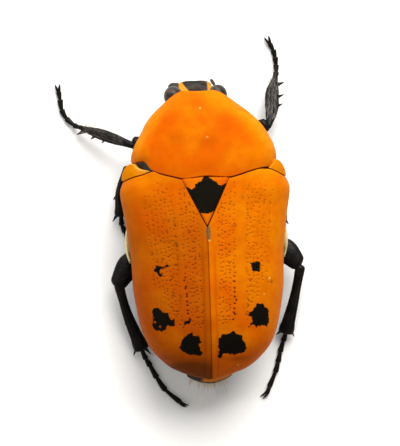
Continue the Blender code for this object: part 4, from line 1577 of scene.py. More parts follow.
    def build(self) -> Piece:
        """Builds the shell.

        Returns:
            The closed piece.
        """
        sheet = Sheet(self.rows, self.columns)
        along = self.even_along(sheet.along)
        sheet.points = self.surface(along, self.spread(sheet.across))
        half = Route(CASE_EDGE).at(along)[..., 0]
        distances = sheet.border_distances()
        pores = self.dented(sheet.points)
        raised = self.relief(sheet, half, distances["left"])
        x, y = sheet.points[..., 0] * self.side.value, sheet.points[..., 1].copy()
        across = sheet.points[..., 0] / half
        sheet.push(raised - self.pit_depth * np.clip(1 - (pores["pore_away"] / 1.5) ** 2, 0, 1))
        sheet.round_borders(left=0.035, right=0.16, first=0.1)
        seam = 1 - ease(distances["left"], 0.015, 0.06)
        seam = np.maximum(seam, 0.8 * (1 - ease(distances["first"], 0.02, 0.09)))
        # Painted shade: in the groove beside the sutural strip, over the rear slope (much weaker on the right
        # case) and over the whole left case, deeper behind its shoulder.
        shade_line = bell(distances["left"] - self.strip_width * 1.2, 0.12)
        painted_tail_shade = ease(-y, 10.9, 13.0) * (1 - 0.85 * ease(x, -0.05, 0.25)) * 0.75
        deep = 0.5 * shade_line * ease(-y, -0.5, 3.0) + 0.35 * painted_tail_shade + self.tan[self.side]
        brown = painted_tail_shade + self.brown_patches(x, y) + self.dusk[self.side] * ease(-y, -4.5, 0.5)
        sheet.marks = pores | {
            "seam": seam * self.seam_tone,
            "deep": np.clip(deep, 0, 1),
            "brown": np.clip(brown, 0, 1),
            # Yellower towards the outer rim and at the front edge, partly the cuticle's own tone and partly
            # painted highlight; the right case also gets painted light over its outer part.
            "warm": np.max([
                0.55 * ease(across, 0.8, 1.0) * ease(y, -8.0, 4.0), 0.7 * ease(y, 4.2, 5.6),
                self.glow[self.side] * ease(across, 0.2, 0.5) * ease(y, -9.0, -5.0),
            ], axis=0),
            "spot": self.spot_depth(x, y),
            "scar": 2.3 - 1.9 * np.hypot((x - 0.07) / 0.25, (y - 0.25) / 0.75),
            "fleck": np.max([
                1 - ease(np.hypot(x - at_x, y - at_y), radius * 0.5, radius)
                for at_x, at_y, radius in self.flecks
            ], axis=0),
            "wrinkle": between(across, 0.45, 0.6, 0.8, 0.95),
        }
        if self.side is Side.LEFT:
            sheet.mirror()
        thinned = 1 - 0.65 * ease(along, 0.9, 1.0)
        return sheet.build(f"wing_case_{self.side.word}", self.wall, thinned)


@dataclass
class Shield:
    """Triangular scutellum with its black kite-shaped patch."""

    rows: int = 90
    columns: int = 70
    wall: float = 0.7
    front: float = 5.55
    tuck: float = 0.28
    patch: Points = (
        (0.12, 5.6), (0.30, 5.26), (0.67, 4.95), (1.03, 4.80), (1.20, 4.45), (1.42, 4.42), (1.75, 4.62),
        (1.9, 4.60), (1.12, 3.0), (0.84, 2.35), (0.45, 2.12), (0.10, 1.92), (-0.3, 1.95), (-0.6, 1.98),
        (-1.15, 2.95), (-1.85, 4.5), (-1.32, 4.22), (-1.05, 4.30), (-0.95, 4.66), (-0.62, 4.80),
        (-0.30, 5.05), (-0.12, 5.6),
    )

    def height(self, x: Array, y: Array) -> Array:
        """Height of the wing cases' surface near the middle of the back.

        Args:
            x: Places across the animal.
            y: Places along it.

        Returns:
            The height at each place.
        """
        edge = Curve(BREAST_WIDTH)(y) + 0.9
        rim = Curve(CASE_RIM)(y)
        return rim + (Curve(CASE_RIDGE)(y) - rim) * rounded(x / edge, CASE_POWER)

    def build(self) -> Piece:
        """Builds the plate.

        Returns:
            The closed piece.
        """
        sheet = Sheet(self.rows, self.columns)
        y = self.front + (SHIELD_TIP + 0.06 - self.front) * sheet.along
        slope = SHIELD_HALF_WIDTH / (SHIELD_FRONT - SHIELD_TIP)
        half = np.minimum((y - SHIELD_TIP) * slope + 0.02, SHIELD_HALF_WIDTH + 0.12)
        x = half * (2 * sheet.across - 1)
        sunk = self.tuck * ease(y, SHIELD_FRONT + 0.1, self.front)
        sheet.points = np.stack([x, y, self.height(x, y) - sunk + 0.02], axis=-1)
        side_way = np.minimum(sheet.across, 1 - sheet.across) * 2 * half
        sheet.push(ripple(x, y, 1.2, 3) * 0.012 - 0.05 * (1 - ease(side_way, 0.0, 0.3)))
        sheet.marks = {
            "seam": (1 - ease(side_way, 0.02, 0.1)) * 0.9,
            "deep": 0.35 * (1 - ease(side_way, 0.05, 0.5)),
            "spot": outline_depth(x, y, self.patch),
        }
        return sheet.build("shield", self.wall)


@dataclass
class FrontBreast:
    """Pronotum, and the black ring of the body under it."""

    rows: int = 170
    columns: int = 210
    wall: float = 0.5
    hollow: float = 0.3
    hollow_at: float = 9.4
    hollow_reach: float = 1.3
    bead_width: float = 0.2
    bead_height: float = 0.05
    dimples: Points = ((-2.8, 10.8), (2.1, 10.5), (-2.5, 8.9), (0.2, 8.5), (-0.4, 12.2))
    dimple_reach: tuple[float, float] = (0.9, 0.7)
    flecks: Points = ((-0.22, 11.57, 0.06, 0.09), (0.32, 8.91, 0.07, 0.05))
    ring_start: float = 5.7
    ring_length: float = 6.4

    def arch(self, y: Array, turn: Array) -> Array:
        """Places on the ring of the front breast.

        Args:
            y: Places along the leaning mid-line.
            turn: Turns round the ring from the right side over the top.

        Returns:
            The places.
        """
        half = Curve(NOTUM_EDGE)(y)
        rim = Curve(NOTUM_RIM)(y)
        x = half * signed_power(np.cos(turn), 2 / NOTUM_POWER)
        upper = (Curve(NOTUM_CROWN)(y) - rim) * rounded(x / half, NOTUM_POWER)
        lower = (Curve(NOTUM_UNDER)(y) - rim) * rounded(x / half, UNDER_POWER)
        base = NOTUM_EDGE[0][0]
        fade = np.clip((NOTUM_BEND_FROM - y) / (NOTUM_BEND_FROM - base), 0, 1) ** 1.5
        shift = (Curve(NOTUM_BASE)(x) - base) * fade
        hollow = self.hollow * bell(y - self.hollow_at, self.hollow_reach) * ease(-x / half, 0.3, 1.0)
        height = rim + np.where(np.sin(turn) >= 0, upper, lower)
        return np.stack([x + hollow + lean(y), y + shift, height], axis=-1)

    def pronotum(self) -> Piece:
        """Builds the orange plate.

        Returns:
            The closed piece.
        """
        sheet = Sheet(self.rows, self.columns)
        first, last = NOTUM_EDGE[0][0], NOTUM_EDGE[-1][0]
        y = first + (last - first) * (1 - (1 - sheet.along) ** 1.35)
        even = 0.5 - 0.5 * np.cos(math.pi * sheet.across)
        turn = math.pi * (0.35 * sheet.across + 0.65 * even)
        sheet.points = self.arch(y, math.pi - turn)
        distances = sheet.border_distances()
        side_way = np.minimum(distances["left"], distances["right"])
        sheen_way = np.minimum(distances["left"], 0.7 * distances["right"])
        x, y = sheet.points[..., 0].copy(), sheet.points[..., 1].copy()
        bead = bell(side_way - self.bead_width, self.bead_width * 0.45)
        sheet.push(self.bead_height * bead + ripple(x, y, 3.2, 8) * 0.02 + ripple(x, y, 0.9, 9) * 0.004)
        sheet.round_borders(left=0.14, right=0.14, first=0.12, last=0.12)
        wide, long = self.dimple_reach
        dimple = sum(bell(x - at_x, wide) * bell(y - at_y, long) for at_x, at_y in self.dimples)
        sheet.marks = {
            "seam": 0.8 * (1 - ease(distances["first"], 0.02, 0.09)),
            # Darker round the dimple places, and painted shade towards the hind edge.
            "deep": np.clip(0.5 * dimple + 0.35 * (1 - ease(distances["first"], 0.4, 1.8)), 0, 1),
            "brown": 0.35 * bell(x + 5.4, 0.55) * bell(y - 7.15, 0.35),
            # Yellower towards the side rims, farther in on the right and less towards the front: partly the
            # cuticle's own tone, partly painted highlight.
            "warm": (1.0 - ease(sheen_way, 0.9, 3.2)) * (1.0 - 0.65 * ease(y, 10.3, 12.4)),
            "spot": np.full(x.shape, -1.0),
            "fleck": sum(
                bell(x - at_x, reach_x) * bell(y - at_y, reach_y)
                for at_x, at_y, reach_x, reach_y in self.flecks
            ),
        }
        return sheet.build("pronotum", self.wall)

    def prosternum(self) -> Piece:
        """Builds the black ring of the body under the pronotum.

        Returns:
            The closed piece.
        """
        def place(share: Array, turn: Array) -> Array:
            """Rings from the hind edge to the neck, shrunk inside the pronotum.

            Args:
                share: Shares of the way along the body.
                turn: Turns round it.

            Returns:
                The places.
            """
            y = self.ring_start + self.ring_length * share
            points = self.arch(y, turn)
            middle = np.stack([lean(y), points[..., 1], Curve(NOTUM_RIM)(y)], axis=-1)
            inner = np.where(np.sin(turn) >= 0, 0.9, 0.985)
            inner = inner - 0.35 * ease(share, 0.87, 1.0)
            for axis, shrink in ((0, np.minimum(inner + 0.08, 0.98)), (2, inner)):
                points[..., axis] = middle[..., axis] + (points[..., axis] - middle[..., axis]) * shrink
            low = np.sin(turn) < 0
            flank = between(np.abs(points[..., 0]), 3.2, 4.2, 4.2, 5.2)
            points[..., 2] += np.where(low, ripple(points[..., 0], y, 1.6, 21) * 0.04 - 0.08 * flank, 0.0)
            return points

        return drawn_body("prosternum", 60, 120, place)

    def build(self, beetle: Beetle) -> None:
        """Builds and keeps both pieces."""
        beetle.keep(self.pronotum(), beetle.wardrobe.orange, Slot.ORANGE, "prothorax")
        beetle.keep(self.prosternum(), beetle.wardrobe.black, Slot.BLACK, "prothorax")


@dataclass
class HindBody:
    """Middle and hind breast with their keel, and the belly with its plates."""

    breast_span: tuple[float, float] = (6.2, -4.0)
    belly_span: tuple[float, float] = (-3.7, -13.0)
    segments: int = 5
    step: float = 0.2
    groove_depth: float = 0.07
    suture_depth: float = 0.06
    keel_at: tuple[float, float, float] = (0.0, 5.2, 0.95)
    keel_size: tuple[float, float, float] = (1.15, 1.7, 0.72)

    def ring(self, turn: Array, half: Array, crown: Array, under: Array) -> tuple:
        """Side place and height on a cross-section, rounded above and below its widest line.

        Args:
            turn: Turns round the section.
            half: Half widths.
            crown: Heights at its top.
            under: Heights at its bottom.

        Returns:
            The side places and the heights.
        """
        x = half * signed_power(np.cos(turn), 2 / CASE_POWER)
        above = WAIST + (crown - WAIST) * np.abs(np.sin(turn)) ** (2 / CASE_POWER)
        return x, np.where(np.sin(turn) >= 0, above, under_height(under, x / half))

    def breast(self) -> Piece:
        """Builds the breast with its mid-line groove and its side sutures.

        Returns:
            The closed piece.
        """
        def place(share: Array, turn: Array) -> Array:
            """Rings from the front to the rear of the breast.

            Args:
                share: Shares of the way along the body.
                turn: Turns round it.

            Returns:
                The places.
            """
            front, rear = self.breast_span
            y = front + (rear - front) * share
            x, z = self.ring(turn, Curve(BREAST_WIDTH)(y), Curve(CASE_RIDGE)(y) - 0.8, Curve(BREAST_BELLY)(y))
            low = (np.sin(turn) < 0) * ease(4.0 - z, 0.0, 1.5)
            groove = bell(x, 0.09) * between(y, -1.5, -0.9, 2.6, 3.2)
            suture = bell(np.abs(x) - 4.6 - 0.25 * y, 0.1) * (1 - ease(y, 3.0, 3.6))
            cuts = self.groove_depth * groove + self.suture_depth * suture
            z = z + low * (cuts + ripple(x, y, 1.8, 31) * 0.02)
            return np.stack([x, y, np.maximum(z, 0.0)], axis=-1)

        body = drawn_body("breast", 110, 150, place)
        return join([body, ball("keel", 40, 24, self.keel_size, self.keel_at)])

    def belly(self) -> Piece:
        """Builds the belly, each plate lapping over the next.

        Returns:
            The closed piece.
        """
        edge = [(-point[1], point[0]) for point in CASE_EDGE]

        def place(share: Array, turn: Array) -> Array:
            """Rings from the breast to the tail.

            Args:
                share: Shares of the way along the body.
                turn: Turns round it.

            Returns:
                The places.
            """
            front, rear = self.belly_span
            y = front + (rear - front) * share
            lap = (share * self.segments) % 1.0
            lap = np.where(share >= 1.0, 1.0, lap)
            lip = ease(lap, 0.0, 0.75) - ease(lap, 0.93, 1.0)
            half = Curve(edge)(-y) - 0.75 + 0.1 * lip
            under = Curve(BELLY_UNDER)(y) + 0.1 - self.step * lip
            crown = np.maximum(Curve(CASE_RIDGE)(y) - 0.9, WAIST + 0.1)
            x, z = self.ring(turn, half, crown, under)
            shrink = 1 - 0.2 * ease(share, 0.96, 1.0)
            low = (np.sin(turn) < 0) * 1.0
            z = z + low * ripple(x, y, 1.4, 41) * 0.02
            bend = 0.35 * (x / half) ** 2 * low
            return np.stack([x * shrink, y + bend, WAIST + (z - WAIST) * shrink], axis=-1)

        return drawn_body("belly", 150, 130, place)

    def build(self, beetle: Beetle) -> None:
        """Builds and keeps both pieces."""
        beetle.keep(self.breast(), beetle.wardrobe.black, Slot.BLACK, "thorax")
        beetle.keep(self.belly(), beetle.wardrobe.black, Slot.BLACK, "abdomen")


@dataclass
class TailPlate:
    """Convex tail plate with a dull orange band along its upper edge."""

    rows: int = 60
    columns: int = 90
    wall: float = 0.6

    def build(self, beetle: Beetle) -> None:
        """Builds and keeps the plate.

        Args:
            beetle: The animal that keeps the pieces.
        """
        sheet = Sheet(self.rows, self.columns, outward=(0, -1, 0))
        row = Route(TAIL_ROWS).at(sheet.along)
        share = 2 * sheet.across - 1
        x = row[..., 2] * share - TAIL_SHIFT
        sheet.points = np.stack([x, row[..., 0] + TAIL_BOW * share**2, row[..., 1]], axis=-1)
        sheet.push(ripple(x, row[..., 1], 1.1, 51) * 0.015)
        sheet.round_borders(left=0.15, right=0.15, first=0.12, last=0.2)
        left_dark = ease(-x - 0.15 * ripple(x, row[..., 1], 0.9, 53), 0.75, 1.0)
        sheet.marks = {"band": (1 - ease(sheet.along, 0.24, 0.36)) * (1 - 0.95 * left_dark)}
        beetle.keep(sheet.build("tail_plate", self.wall), beetle.wardrobe.tail, Slot.BLACK, "pygidium")


@dataclass
class SidePlates:
    """Wedge at the shoulder and pale upright plate at the flank of one side.

    Attributes:
        edge_glow: Strength of the painted highlight along the wedge's front edge.
        wedge_rim: Height of its outer rim.
        wedge_crown: Height that it would reach over the mid-line.
        flank_span: Front and rear places of the flank plate.
        flank_heights: Lower and upper edge of the flank plate.
        flank_outer: Side place of its face.
        flank_bow: How far it bows out between its lower and upper edge.
        flank_taper: How far it falls back toward its front and rear ends.
    """

    side: Side
    wedge_front: dict[Side, Points] = by_side(
        (
            (5.02, 6.06), (5.5, 6.12), (5.9, 6.2), (6.2, 6.36), (6.57, 6.68), (6.8, 6.72), (7.28, 6.42),
            (7.52, 5.96), (7.62, 5.5),
        ),
        ((5.9, 5.95), (6.25, 6.25), (6.65, 6.7), (7.1, 6.4), (7.42, 5.75), (7.52, 5.3)),
    )
    edge_glow: dict[Side, float] = by_side(0.6, 0.1)
    wedge_rim: float = 5.2
    wedge_crown: float = 8.1
    wedge_wall: float = 0.9
    flank_span: tuple[float, float] = (0.95, -2.35)
    flank_heights: tuple[float, float] = (3.5, 5.5)
    flank_outer: float = 7.36
    flank_bow: float = 0.14
    flank_taper: float = 0.3
    flank_wall: float = 0.7

    def wedge(self) -> Piece:
        """Builds the shoulder wedge.

        Returns:
            The closed piece.
        """
        sheet = Sheet(60, 60)
        front = self.wedge_front[self.side]
        first, last = front[0][0], front[-1][0]
        x = first + (last - first) * (1 - (1 - sheet.across) ** 1.4)
        back = Curve(CASE_FRONT[self.side.name])(x) + 0.03
        y = back + (Curve(front)(x) - back) * sheet.along
        z = self.wedge_rim + (self.wedge_crown - self.wedge_rim) * rounded(x / (last + 0.05), CASE_POWER)
        sheet.points = np.stack([x, y, z], axis=-1)
        sheet.push(ripple(x, y, 1.0, 61) * 0.015)
        sheet.round_borders(first=0.08, last=0.12, right=0.1)
        distances = sheet.border_distances()
        # Painted highlight along the front edge in the pale colour, strongest on the left; the whole wedge is
        # marked yellower, partly its own tone and partly painted light.
        glow = (1 - ease(distances["last"], 0.0, 0.5)) * (1 - ease(x, 6.2, 6.7))
        sheet.marks = {
            "seam": 0.8 * (1 - ease(distances["first"], 0.02, 0.08)),
            "warm": np.ones_like(x),
            "spot": np.full(x.shape, -1.0),
            "fleck": self.edge_glow[self.side] * glow,
        }
        if self.side is Side.LEFT:
            sheet.mirror()
        return sheet.build(f"shoulder_wedge_{self.side.word}", self.wedge_wall)

    def flank(self) -> Piece:
        """Builds the pale flank plate.

        Returns:
            The closed piece.
        """
        sheet = Sheet(40, 50, outward=(self.side.value, 0, 0))
        low, high = self.flank_heights
        front, rear = self.flank_span
        ends = (2 * sheet.across - 1) ** 2
        z = (low + high) / 2 + (high - low) * (sheet.along - 0.5) * (1 - 0.85 * ends)
        y = front + (rear - front) * sheet.across + 0.25 * (sheet.along - 0.5)
        bow = self.flank_bow * (1 - (2 * sheet.along - 1) ** 2)
        bow -= self.flank_taper * (2 * sheet.across - 0.9) ** 2
        x = self.side.value * (self.flank_outer + bow)
        sheet.points = np.stack([x, y, z], axis=-1)
        sheet.push(ripple(y, z, 0.9, 71) * 0.015)
        sheet.round_borders(first=0.15, left=0.15, right=0.2)
        return sheet.build(f"flank_plate_{self.side.word}", self.flank_wall)

    def build(self, beetle: Beetle) -> None:
        """Builds and keeps both plates.

        Args:
            beetle: The animal that keeps the pieces.
        """
        word = self.side.word
        beetle.keep(self.wedge(), beetle.wardrobe.orange, Slot.ORANGE, f"mesepimeron_{word}")
        beetle.keep(self.flank(), beetle.wardrobe.pale, Slot.PALE, f"metepimeron_{word}")


@dataclass
class Head:
    """Head capsule with its two orange stripes, the eyes, feelers and mouthparts."""

    stripes: Sequence[Points] = (((-1.33, 13.05), (-1.98, 14.15)), ((0.92, 13.05), (0.95, 14.2)))
    stripe_half: float = 0.27
    stripe_blur: float = 0.06
    lip_height: float = 0.10
    brow_height: float = 0.10
    cheek_depth: float = 0.12
    notch_depth: float = 0.16
    feelers: dict[Side, tuple[Points, Points]] = by_side(
        (
            ((-1.95, 13.35, 3.35), (-2.2, 13.6, 2.9), (-2.1, 13.85, 2.55), (-2.0, 13.95, 2.3)),
            ((-2.02, 14.02, 2.3), (-2.75, 13.72, 1.2)),
        ),
        (
            ((0.6, 13.1, 3.1), (0.95, 13.35, 2.7), (1.15, 13.5, 2.5), (1.3, 13.65, 2.5)),
            ((1.4, 13.75, 2.6), (1.0, 14.38, 3.0)),
        ),
    )
    leaf_spacing: dict[Side, float] = by_side(0.2, 0.05)
    leaf_slimness: dict[Side, float] = by_side(1.0, 0.45)
    blade: Points = (
        (0.0, 0.12, 0.1), (0.2, 0.27, 0.12), (0.6, 0.36, 0.13), (0.9, 0.28, 0.12), (1.0, 0.12, 0.08),
    )
    joint: Bar = Bar(((-0.06, 0.12, 0.12), (0.25, 0.2, 0.2), (0.75, 0.28, 0.27), (1.0, 0.16, 0.16)), 12, 14)
    bead: Bar = Bar(((0.0, 0.13, 0.13), (0.5, 0.23, 0.22), (1.0, 0.13, 0.13)), 10, 8)
    chin: Bar = Bar(((0.0, 0.55, 0.25), (0.3, 0.78, 0.34), (0.7, 0.75, 0.32), (1.0, 0.45, 0.2)), 18, 16)
    chin_path: Points = ((0.0, 11.9, 2.15), (0.0, 12.5, 1.5), (0.0, 13.1, 1.05))
    link: Bar = Bar(((0.0, 0.12, 0.12), (0.5, 0.2, 0.19), (0.9, 0.24, 0.22), (1.0, 0.14, 0.14)), 12, 12)
    palp_path: Points = ((0.4, 12.7, 1.35), (0.75, 13.3, 0.95), (0.7, 13.95, 0.8))

    def capsule(self) -> Piece:
        """Builds the capsule from the neck to the front edge of the mouth shield.

        Returns:
            The closed piece.
        """
        down = np.array(HEAD_DOWN) / np.linalg.norm(HEAD_DOWN)
        face = np.array((0.0, -down[2], down[1]))
        widths = [(place, wide) for place, wide, _ in HEAD_SHAPE]
        depths = [(place, thick) for place, _, thick in HEAD_SHAPE]
        length = HEAD_SHAPE[-1][0]

        def place(share: Array, turn: Array) -> Array:
            """Rings down the face.

            Args:
                share: Shares of the way along the body.
                turn: Turns round it.

            Returns:
                The places.
            """
            along = length * share - 0.35 * (1 - share)
            wide, thick = Curve(widths)(along), Curve(depths)(along)
            across = signed_power(np.cos(turn), 0.8) * wide
            over = np.sin(turn) * thick
            upper = np.maximum(np.sin(turn), 0.0)
            out = np.abs(across)
            lip = bell(along - 3.12, 0.16) + 0.8 * bell(out / wide - 0.93, 0.06) * ease(along, 1.6, 2.2)
            brow = self.brow_height * bell(across, 0.35) * between(along, 0.4, 1.2, 1.6, 2.4)
            cheeks = self.cheek_depth * bell(out - 0.9, 0.35) * between(along, 0.6, 1.2, 2.0, 2.8)
            over = over + upper * (self.lip_height * lip + brow - cheeks)
            notch = self.notch_depth * bell(across, 0.5) * ease(share, 0.85, 1.0)
            way = (along - notch)[..., None] * down
            sideways = across[..., None] * np.array((1.0, 0.0, 0.0))
            return np.array(HEAD_AT) + way + sideways + over[..., None] * face

        piece = drawn_body("head_capsule", 90, 110, place)
        points = read_points(piece) / MM
        nearest = np.full(len(points), 9.0)
        for (ax, ay), (bx, by) in self.stripes:
            way = np.array((bx - ax, by - ay))
            offset = points[:, :2] - (ax, ay)
            t = np.clip(offset @ way / (way @ way), 0, 1)
            nearest = np.minimum(nearest, np.linalg.norm(offset - t[:, None] * way, axis=1))
        upper = ease((points - HEAD_AT) @ face, 0.1, 0.3)
        stripe = 1 - ease(nearest, self.stripe_half - self.stripe_blur, self.stripe_half + self.stripe_blur)
        write_mark(piece, "band", stripe * upper)
        return piece

    def eye(self, side: Side) -> Piece:
        """Builds one eye."""
        centre = (HEAD_AT[0] + side.value * EYE_AT[0], EYE_AT[1], EYE_AT[2])
        return ball(f"eye_ball_{side.word}", 72, 48, EYE_SIZE, centre)

    def feeler(self, side: Side) -> Piece:
        """Builds one feeler: a long first joint, small beads and a club of three leaves.

        Args:
            side: Side of the head.

        Returns:
            The joined piece.
        """
        stem, club = self.feelers[side]
        pieces = [laid(self.joint, f"feeler_{side.word}", stem, stretch=(-0.05, 0.42))]
        for k in range(5):
            start = 0.4 + 0.12 * k
            pieces.append(laid(self.bead, "bead", stem, stretch=(start, start + 0.13)))
        root, tip = (np.array(point) for point in club)
        stack = np.cross(tip - root, (0, 1, 0))
        stack /= np.linalg.norm(stack)
        slim = self.leaf_slimness[side]
        leaf = Bar([(share, wide * slim, thick * slim) for share, wide, thick in self.blade], 12, 14)
        for k in (-1, 0, 1):
            step = stack * self.leaf_spacing[side] * k
            path = (root + step * 0.4, (root + tip) / 2 + step, tip + step)
            pieces.append(laid(leaf, "leaf", path, up=stack))
        return join(pieces)

    def mouth(self) -> Piece:
        """Builds the chin plate and the pair of palps.

        Returns:
            The joined piece.
        """
        middle = np.array((HEAD_AT[0], 0, 0))
        path = [middle + point for point in self.chin_path]
        pieces = [laid(self.chin, "chin_and_palps", path)]
        for turn in (-1, 1):
            palp = [middle + (x * turn, y, z) for x, y, z in self.palp_path]
            for stretch in ((-0.05, 0.3), (0.27, 0.58), (0.55, 1.05)):
                pieces.append(laid(self.link, "palp", palp, stretch=stretch))
        return join(pieces)

    def build(self, beetle: Beetle) -> None:
        """Builds and keeps the head's pieces.

        Args:
            beetle: The animal that keeps the pieces.
        """
        beetle.keep(self.capsule(), beetle.wardrobe.head, Slot.BLACK, "head")
        beetle.keep(self.mouth(), beetle.wardrobe.black, Slot.BLACK, "mouthparts")
        for side in Side:
            beetle.keep(self.eye(side), beetle.wardrobe.eye, Slot.EYE, f"eye_{side.word}")
            beetle.keep(self.feeler(side), beetle.wardrobe.feeler, Slot.LEG, f"antenna_{side.word}")


@dataclass
class Leg:
    """One leg from its first joint to its claws."""

    name: str
    femur_bars: dict[str, Points] = field(default_factory=lambda: {
        "front": (
            (-0.03, 0.34, 0.3), (0.1, 0.5, 0.42), (0.25, 0.7, 0.5), (0.5, 0.8, 0.52),
            (0.75, 0.74, 0.52), (0.92, 0.66, 0.47), (1.04, 0.6, 0.4),
        ),
        "mid": (
            (-0.03, 0.34, 0.3), (0.1, 0.5, 0.42), (0.25, 0.72, 0.5), (0.5, 0.82, 0.52),
            (0.75, 0.7, 0.5), (0.92, 0.56, 0.45), (1.04, 0.48, 0.38),
        ),
        "hind": (
            (-0.02, 0.4, 0.3), (0.1, 0.7, 0.42), (0.25, 1.0, 0.5), (0.5, 1.22, 0.56),
            (0.7, 1.2, 0.57), (0.88, 0.92, 0.5), (1.02, 0.7, 0.42),
        ),
    })
    tibia_bars: dict[str, Points] = field(default_factory=lambda: {
        "front": (
            (-0.04, 0.3, 0.26), (0.1, 0.36, 0.3), (0.3, 0.53, 0.3), (0.5, 0.59, 0.3),
            (0.66, 0.53, 0.3), (0.8, 0.38, 0.28), (0.9, 0.26, 0.25), (1.04, 0.22, 0.2),
        ),
        "front_right": (
            (-0.03, 0.2, 0.22), (0.05, 0.28, 0.28), (0.14, 0.4, 0.3), (0.22, 0.54, 0.3), (0.32, 0.65, 0.3),
            (0.42, 0.75, 0.3), (0.52, 0.73, 0.3), (0.62, 0.73, 0.3), (0.73, 0.65, 0.29), (0.83, 0.46, 0.28),
            (0.9, 0.34, 0.26), (1.0, 0.24, 0.22), (1.04, 0.22, 0.2),
        ),
        "mid": (
            (-0.05, 0.34, 0.3), (0.1, 0.36, 0.33), (0.3, 0.38, 0.34), (0.55, 0.44, 0.37),
            (0.8, 0.5, 0.39), (0.95, 0.58, 0.4), (1.04, 0.56, 0.36),
        ),
        "hind": (
            (-0.03, 0.46, 0.36), (0.08, 0.46, 0.37), (0.3, 0.44, 0.36), (0.55, 0.52, 0.38),
            (0.8, 0.64, 0.4), (0.95, 0.72, 0.42), (1.02, 0.7, 0.38),
        ),
    })
    cone: Bar = Bar(
        ((0.0, 0.75, 0.72), (0.25, 0.98, 0.88), (0.6, 0.88, 0.8), (0.85, 0.62, 0.58), (1.0, 0.45, 0.45)),
        20, 20,
    )
    joint: Bar = Bar(
        ((0.0, 0.15, 0.12), (0.3, 0.2, 0.16), (0.7, 0.25, 0.19), (0.92, 0.28, 0.21), (1.0, 0.25, 0.18)),
        12, 12,
    )
    last: Bar = Bar(((0.0, 0.14, 0.11), (0.4, 0.19, 0.15), (0.85, 0.25, 0.19), (1.0, 0.22, 0.16)), 12, 12)
    claw: Bar = Bar(((0.0, 0.15, 0.15), (0.3, 0.13, 0.14), (0.65, 0.1, 0.11), (1.0, 0.03, 0.03)), 10, 12)
    joint_ends: tuple[float, ...] = (0.0, 1 / 3, 1 / 2, 2 / 3, 5 / 6, 1.0)
    joint_lap: float = 0.012
    groove_count: int = 8
    groove_depth: float = 0.14
    claw_tip_height: float = 0.06

    @property
    def row(self) -> str:
        """Row of the leg: front, mid or hind."""
        return self.name.split("_")[0]

    @property
    def side(self) -> Side:
        """Side of the leg."""
        return Side[self.name.split("_")[1].upper()]

    def coxa(self) -> Piece:
        """Builds the first joint.

        Returns:
            The closed piece.
        """
        if self.row == "hind":
            return self.hind_plate()
        return laid(self.cone, f"hip_{self.name}", LEGS[self.name]["coxa"])

    def hind_plate(self) -> Piece:
        """Builds the wide flat first joint of a hind leg.

        Returns:
            The closed piece.
        """
        sheet = Sheet(40, 90, outward=(0, 0, -1))
        x = 0.1 + 5.6 * sheet.across
        y = -1.85 - 2.05 * sheet.along - 0.25 * ease(sheet.across, 0.7, 1.0) * (sheet.along - 0.5)
        above = under_height(Curve(BREAST_BELLY)(y), x / Curve(BREAST_WIDTH)(y))
        sheet.points = np.stack([x, y, np.maximum(above - 1.1, 0.06)], axis=-1)
        sheet.push(ripple(x, y, 1.2, 81) * 0.015)
        sheet.round_borders(first=0.35, last=0.3, left=0.15, right=0.4)
        sheet.points[..., 2] = np.maximum(sheet.points[..., 2], 0.05)
        if self.side is Side.LEFT:
            sheet.mirror()
        return sheet.build(f"hip_{self.name}", 0.85)

    def femur(self) -> Piece:
        """Builds the thigh.

        Returns:
            The closed piece.
        """
        bar = Bar(self.femur_bars[self.row], 20, 26, (0.06, 0.05))
        return laid(bar, f"thigh_{self.name}", LEGS[self.name]["femur"])

    def tibia(self) -> Piece:
        """Builds the shin with its teeth and end spurs.

        Returns:
            The joined piece.
        """
        path = LEGS[self.name]["tibia"]
        sections = self.tibia_bars.get(self.name) or self.tibia_bars[self.row]
        shin = Bar(sections, 24, 36, (0.05, 0.025))
        flutes = Flutes(self.groove_count, self.groove_depth)
        pieces = [laid(shin, f"shin_{self.name}", path, flutes=flutes)]
        wide, slim = (0.46, 0.6) if self.row == "front" else (0.28, 1.0)
        tooth = Bar((
            (0.0, wide, 0.2), (0.35, wide * 0.72 * slim, 0.16),
            (0.7, wide * 0.35 * slim, 0.1 * slim), (1.0, 0.03, 0.03),
        ), 10, 8)
        for share, tip in LEGS[self.name]["teeth"]:
            root = Route(path).at(share - 0.05)
            bend = (root * 0.45 + np.array(tip) * 0.55) + Route(path).heading(share) * -0.08
            pieces.append(laid(tooth, "tooth", (root, bend, tip)))
        return join(pieces)

    def foot_path(self) -> Points:
        """Path of the foot, from inside the end of the shin along the floor."""
        ankle = Route(LEGS[self.name]["tibia"]).at(0.96)
        return [ankle] + [(*point, TARSUS_AXIS)[:3] for point in LEGS[self.name]["tarsus"]]

    def tarsus(self) -> Piece:
        """Builds the foot: five joints that widen to their ends, and two curved claws.

        Returns:
            The joined piece.
        """
        path = self.foot_path()
        pieces = []
        for start, stop in zip(self.joint_ends, self.joint_ends[1:]):
            bar = self.last if stop == 1.0 else self.joint
            stretch = (start - self.joint_lap, stop + self.joint_lap)
            pieces.append(laid(bar, f"foot_{self.name}", path, stretch=stretch))
        root = Route(path).at(0.97)
        heading = Route(path).heading(1.0)
        tips = [np.array((*tip, self.claw_tip_height)) for tip in LEGS[self.name]["claws"]]
        apart = (tips[0] - tips[1]) / 2
        for tip, turn in zip(tips, (1, -1)):
            reach = np.linalg.norm(tip - root)
            bend = root + heading * reach * 0.55 + apart * turn * 0.7 + (0, 0, 0.14)
            pieces.append(laid(self.claw, "claw", (root, bend, tip)))
        return join(pieces)

    def build(self, beetle: Beetle) -> None:
        """Builds and keeps the leg's pieces."""
        makers = {"coxa": self.coxa, "femur": self.femur, "tibia": self.tibia, "tarsus": self.tarsus}
        for kind, make in makers.items():
            beetle.keep(make(), beetle.wardrobe.leg, Slot.LEG, f"{kind}_{self.name}")


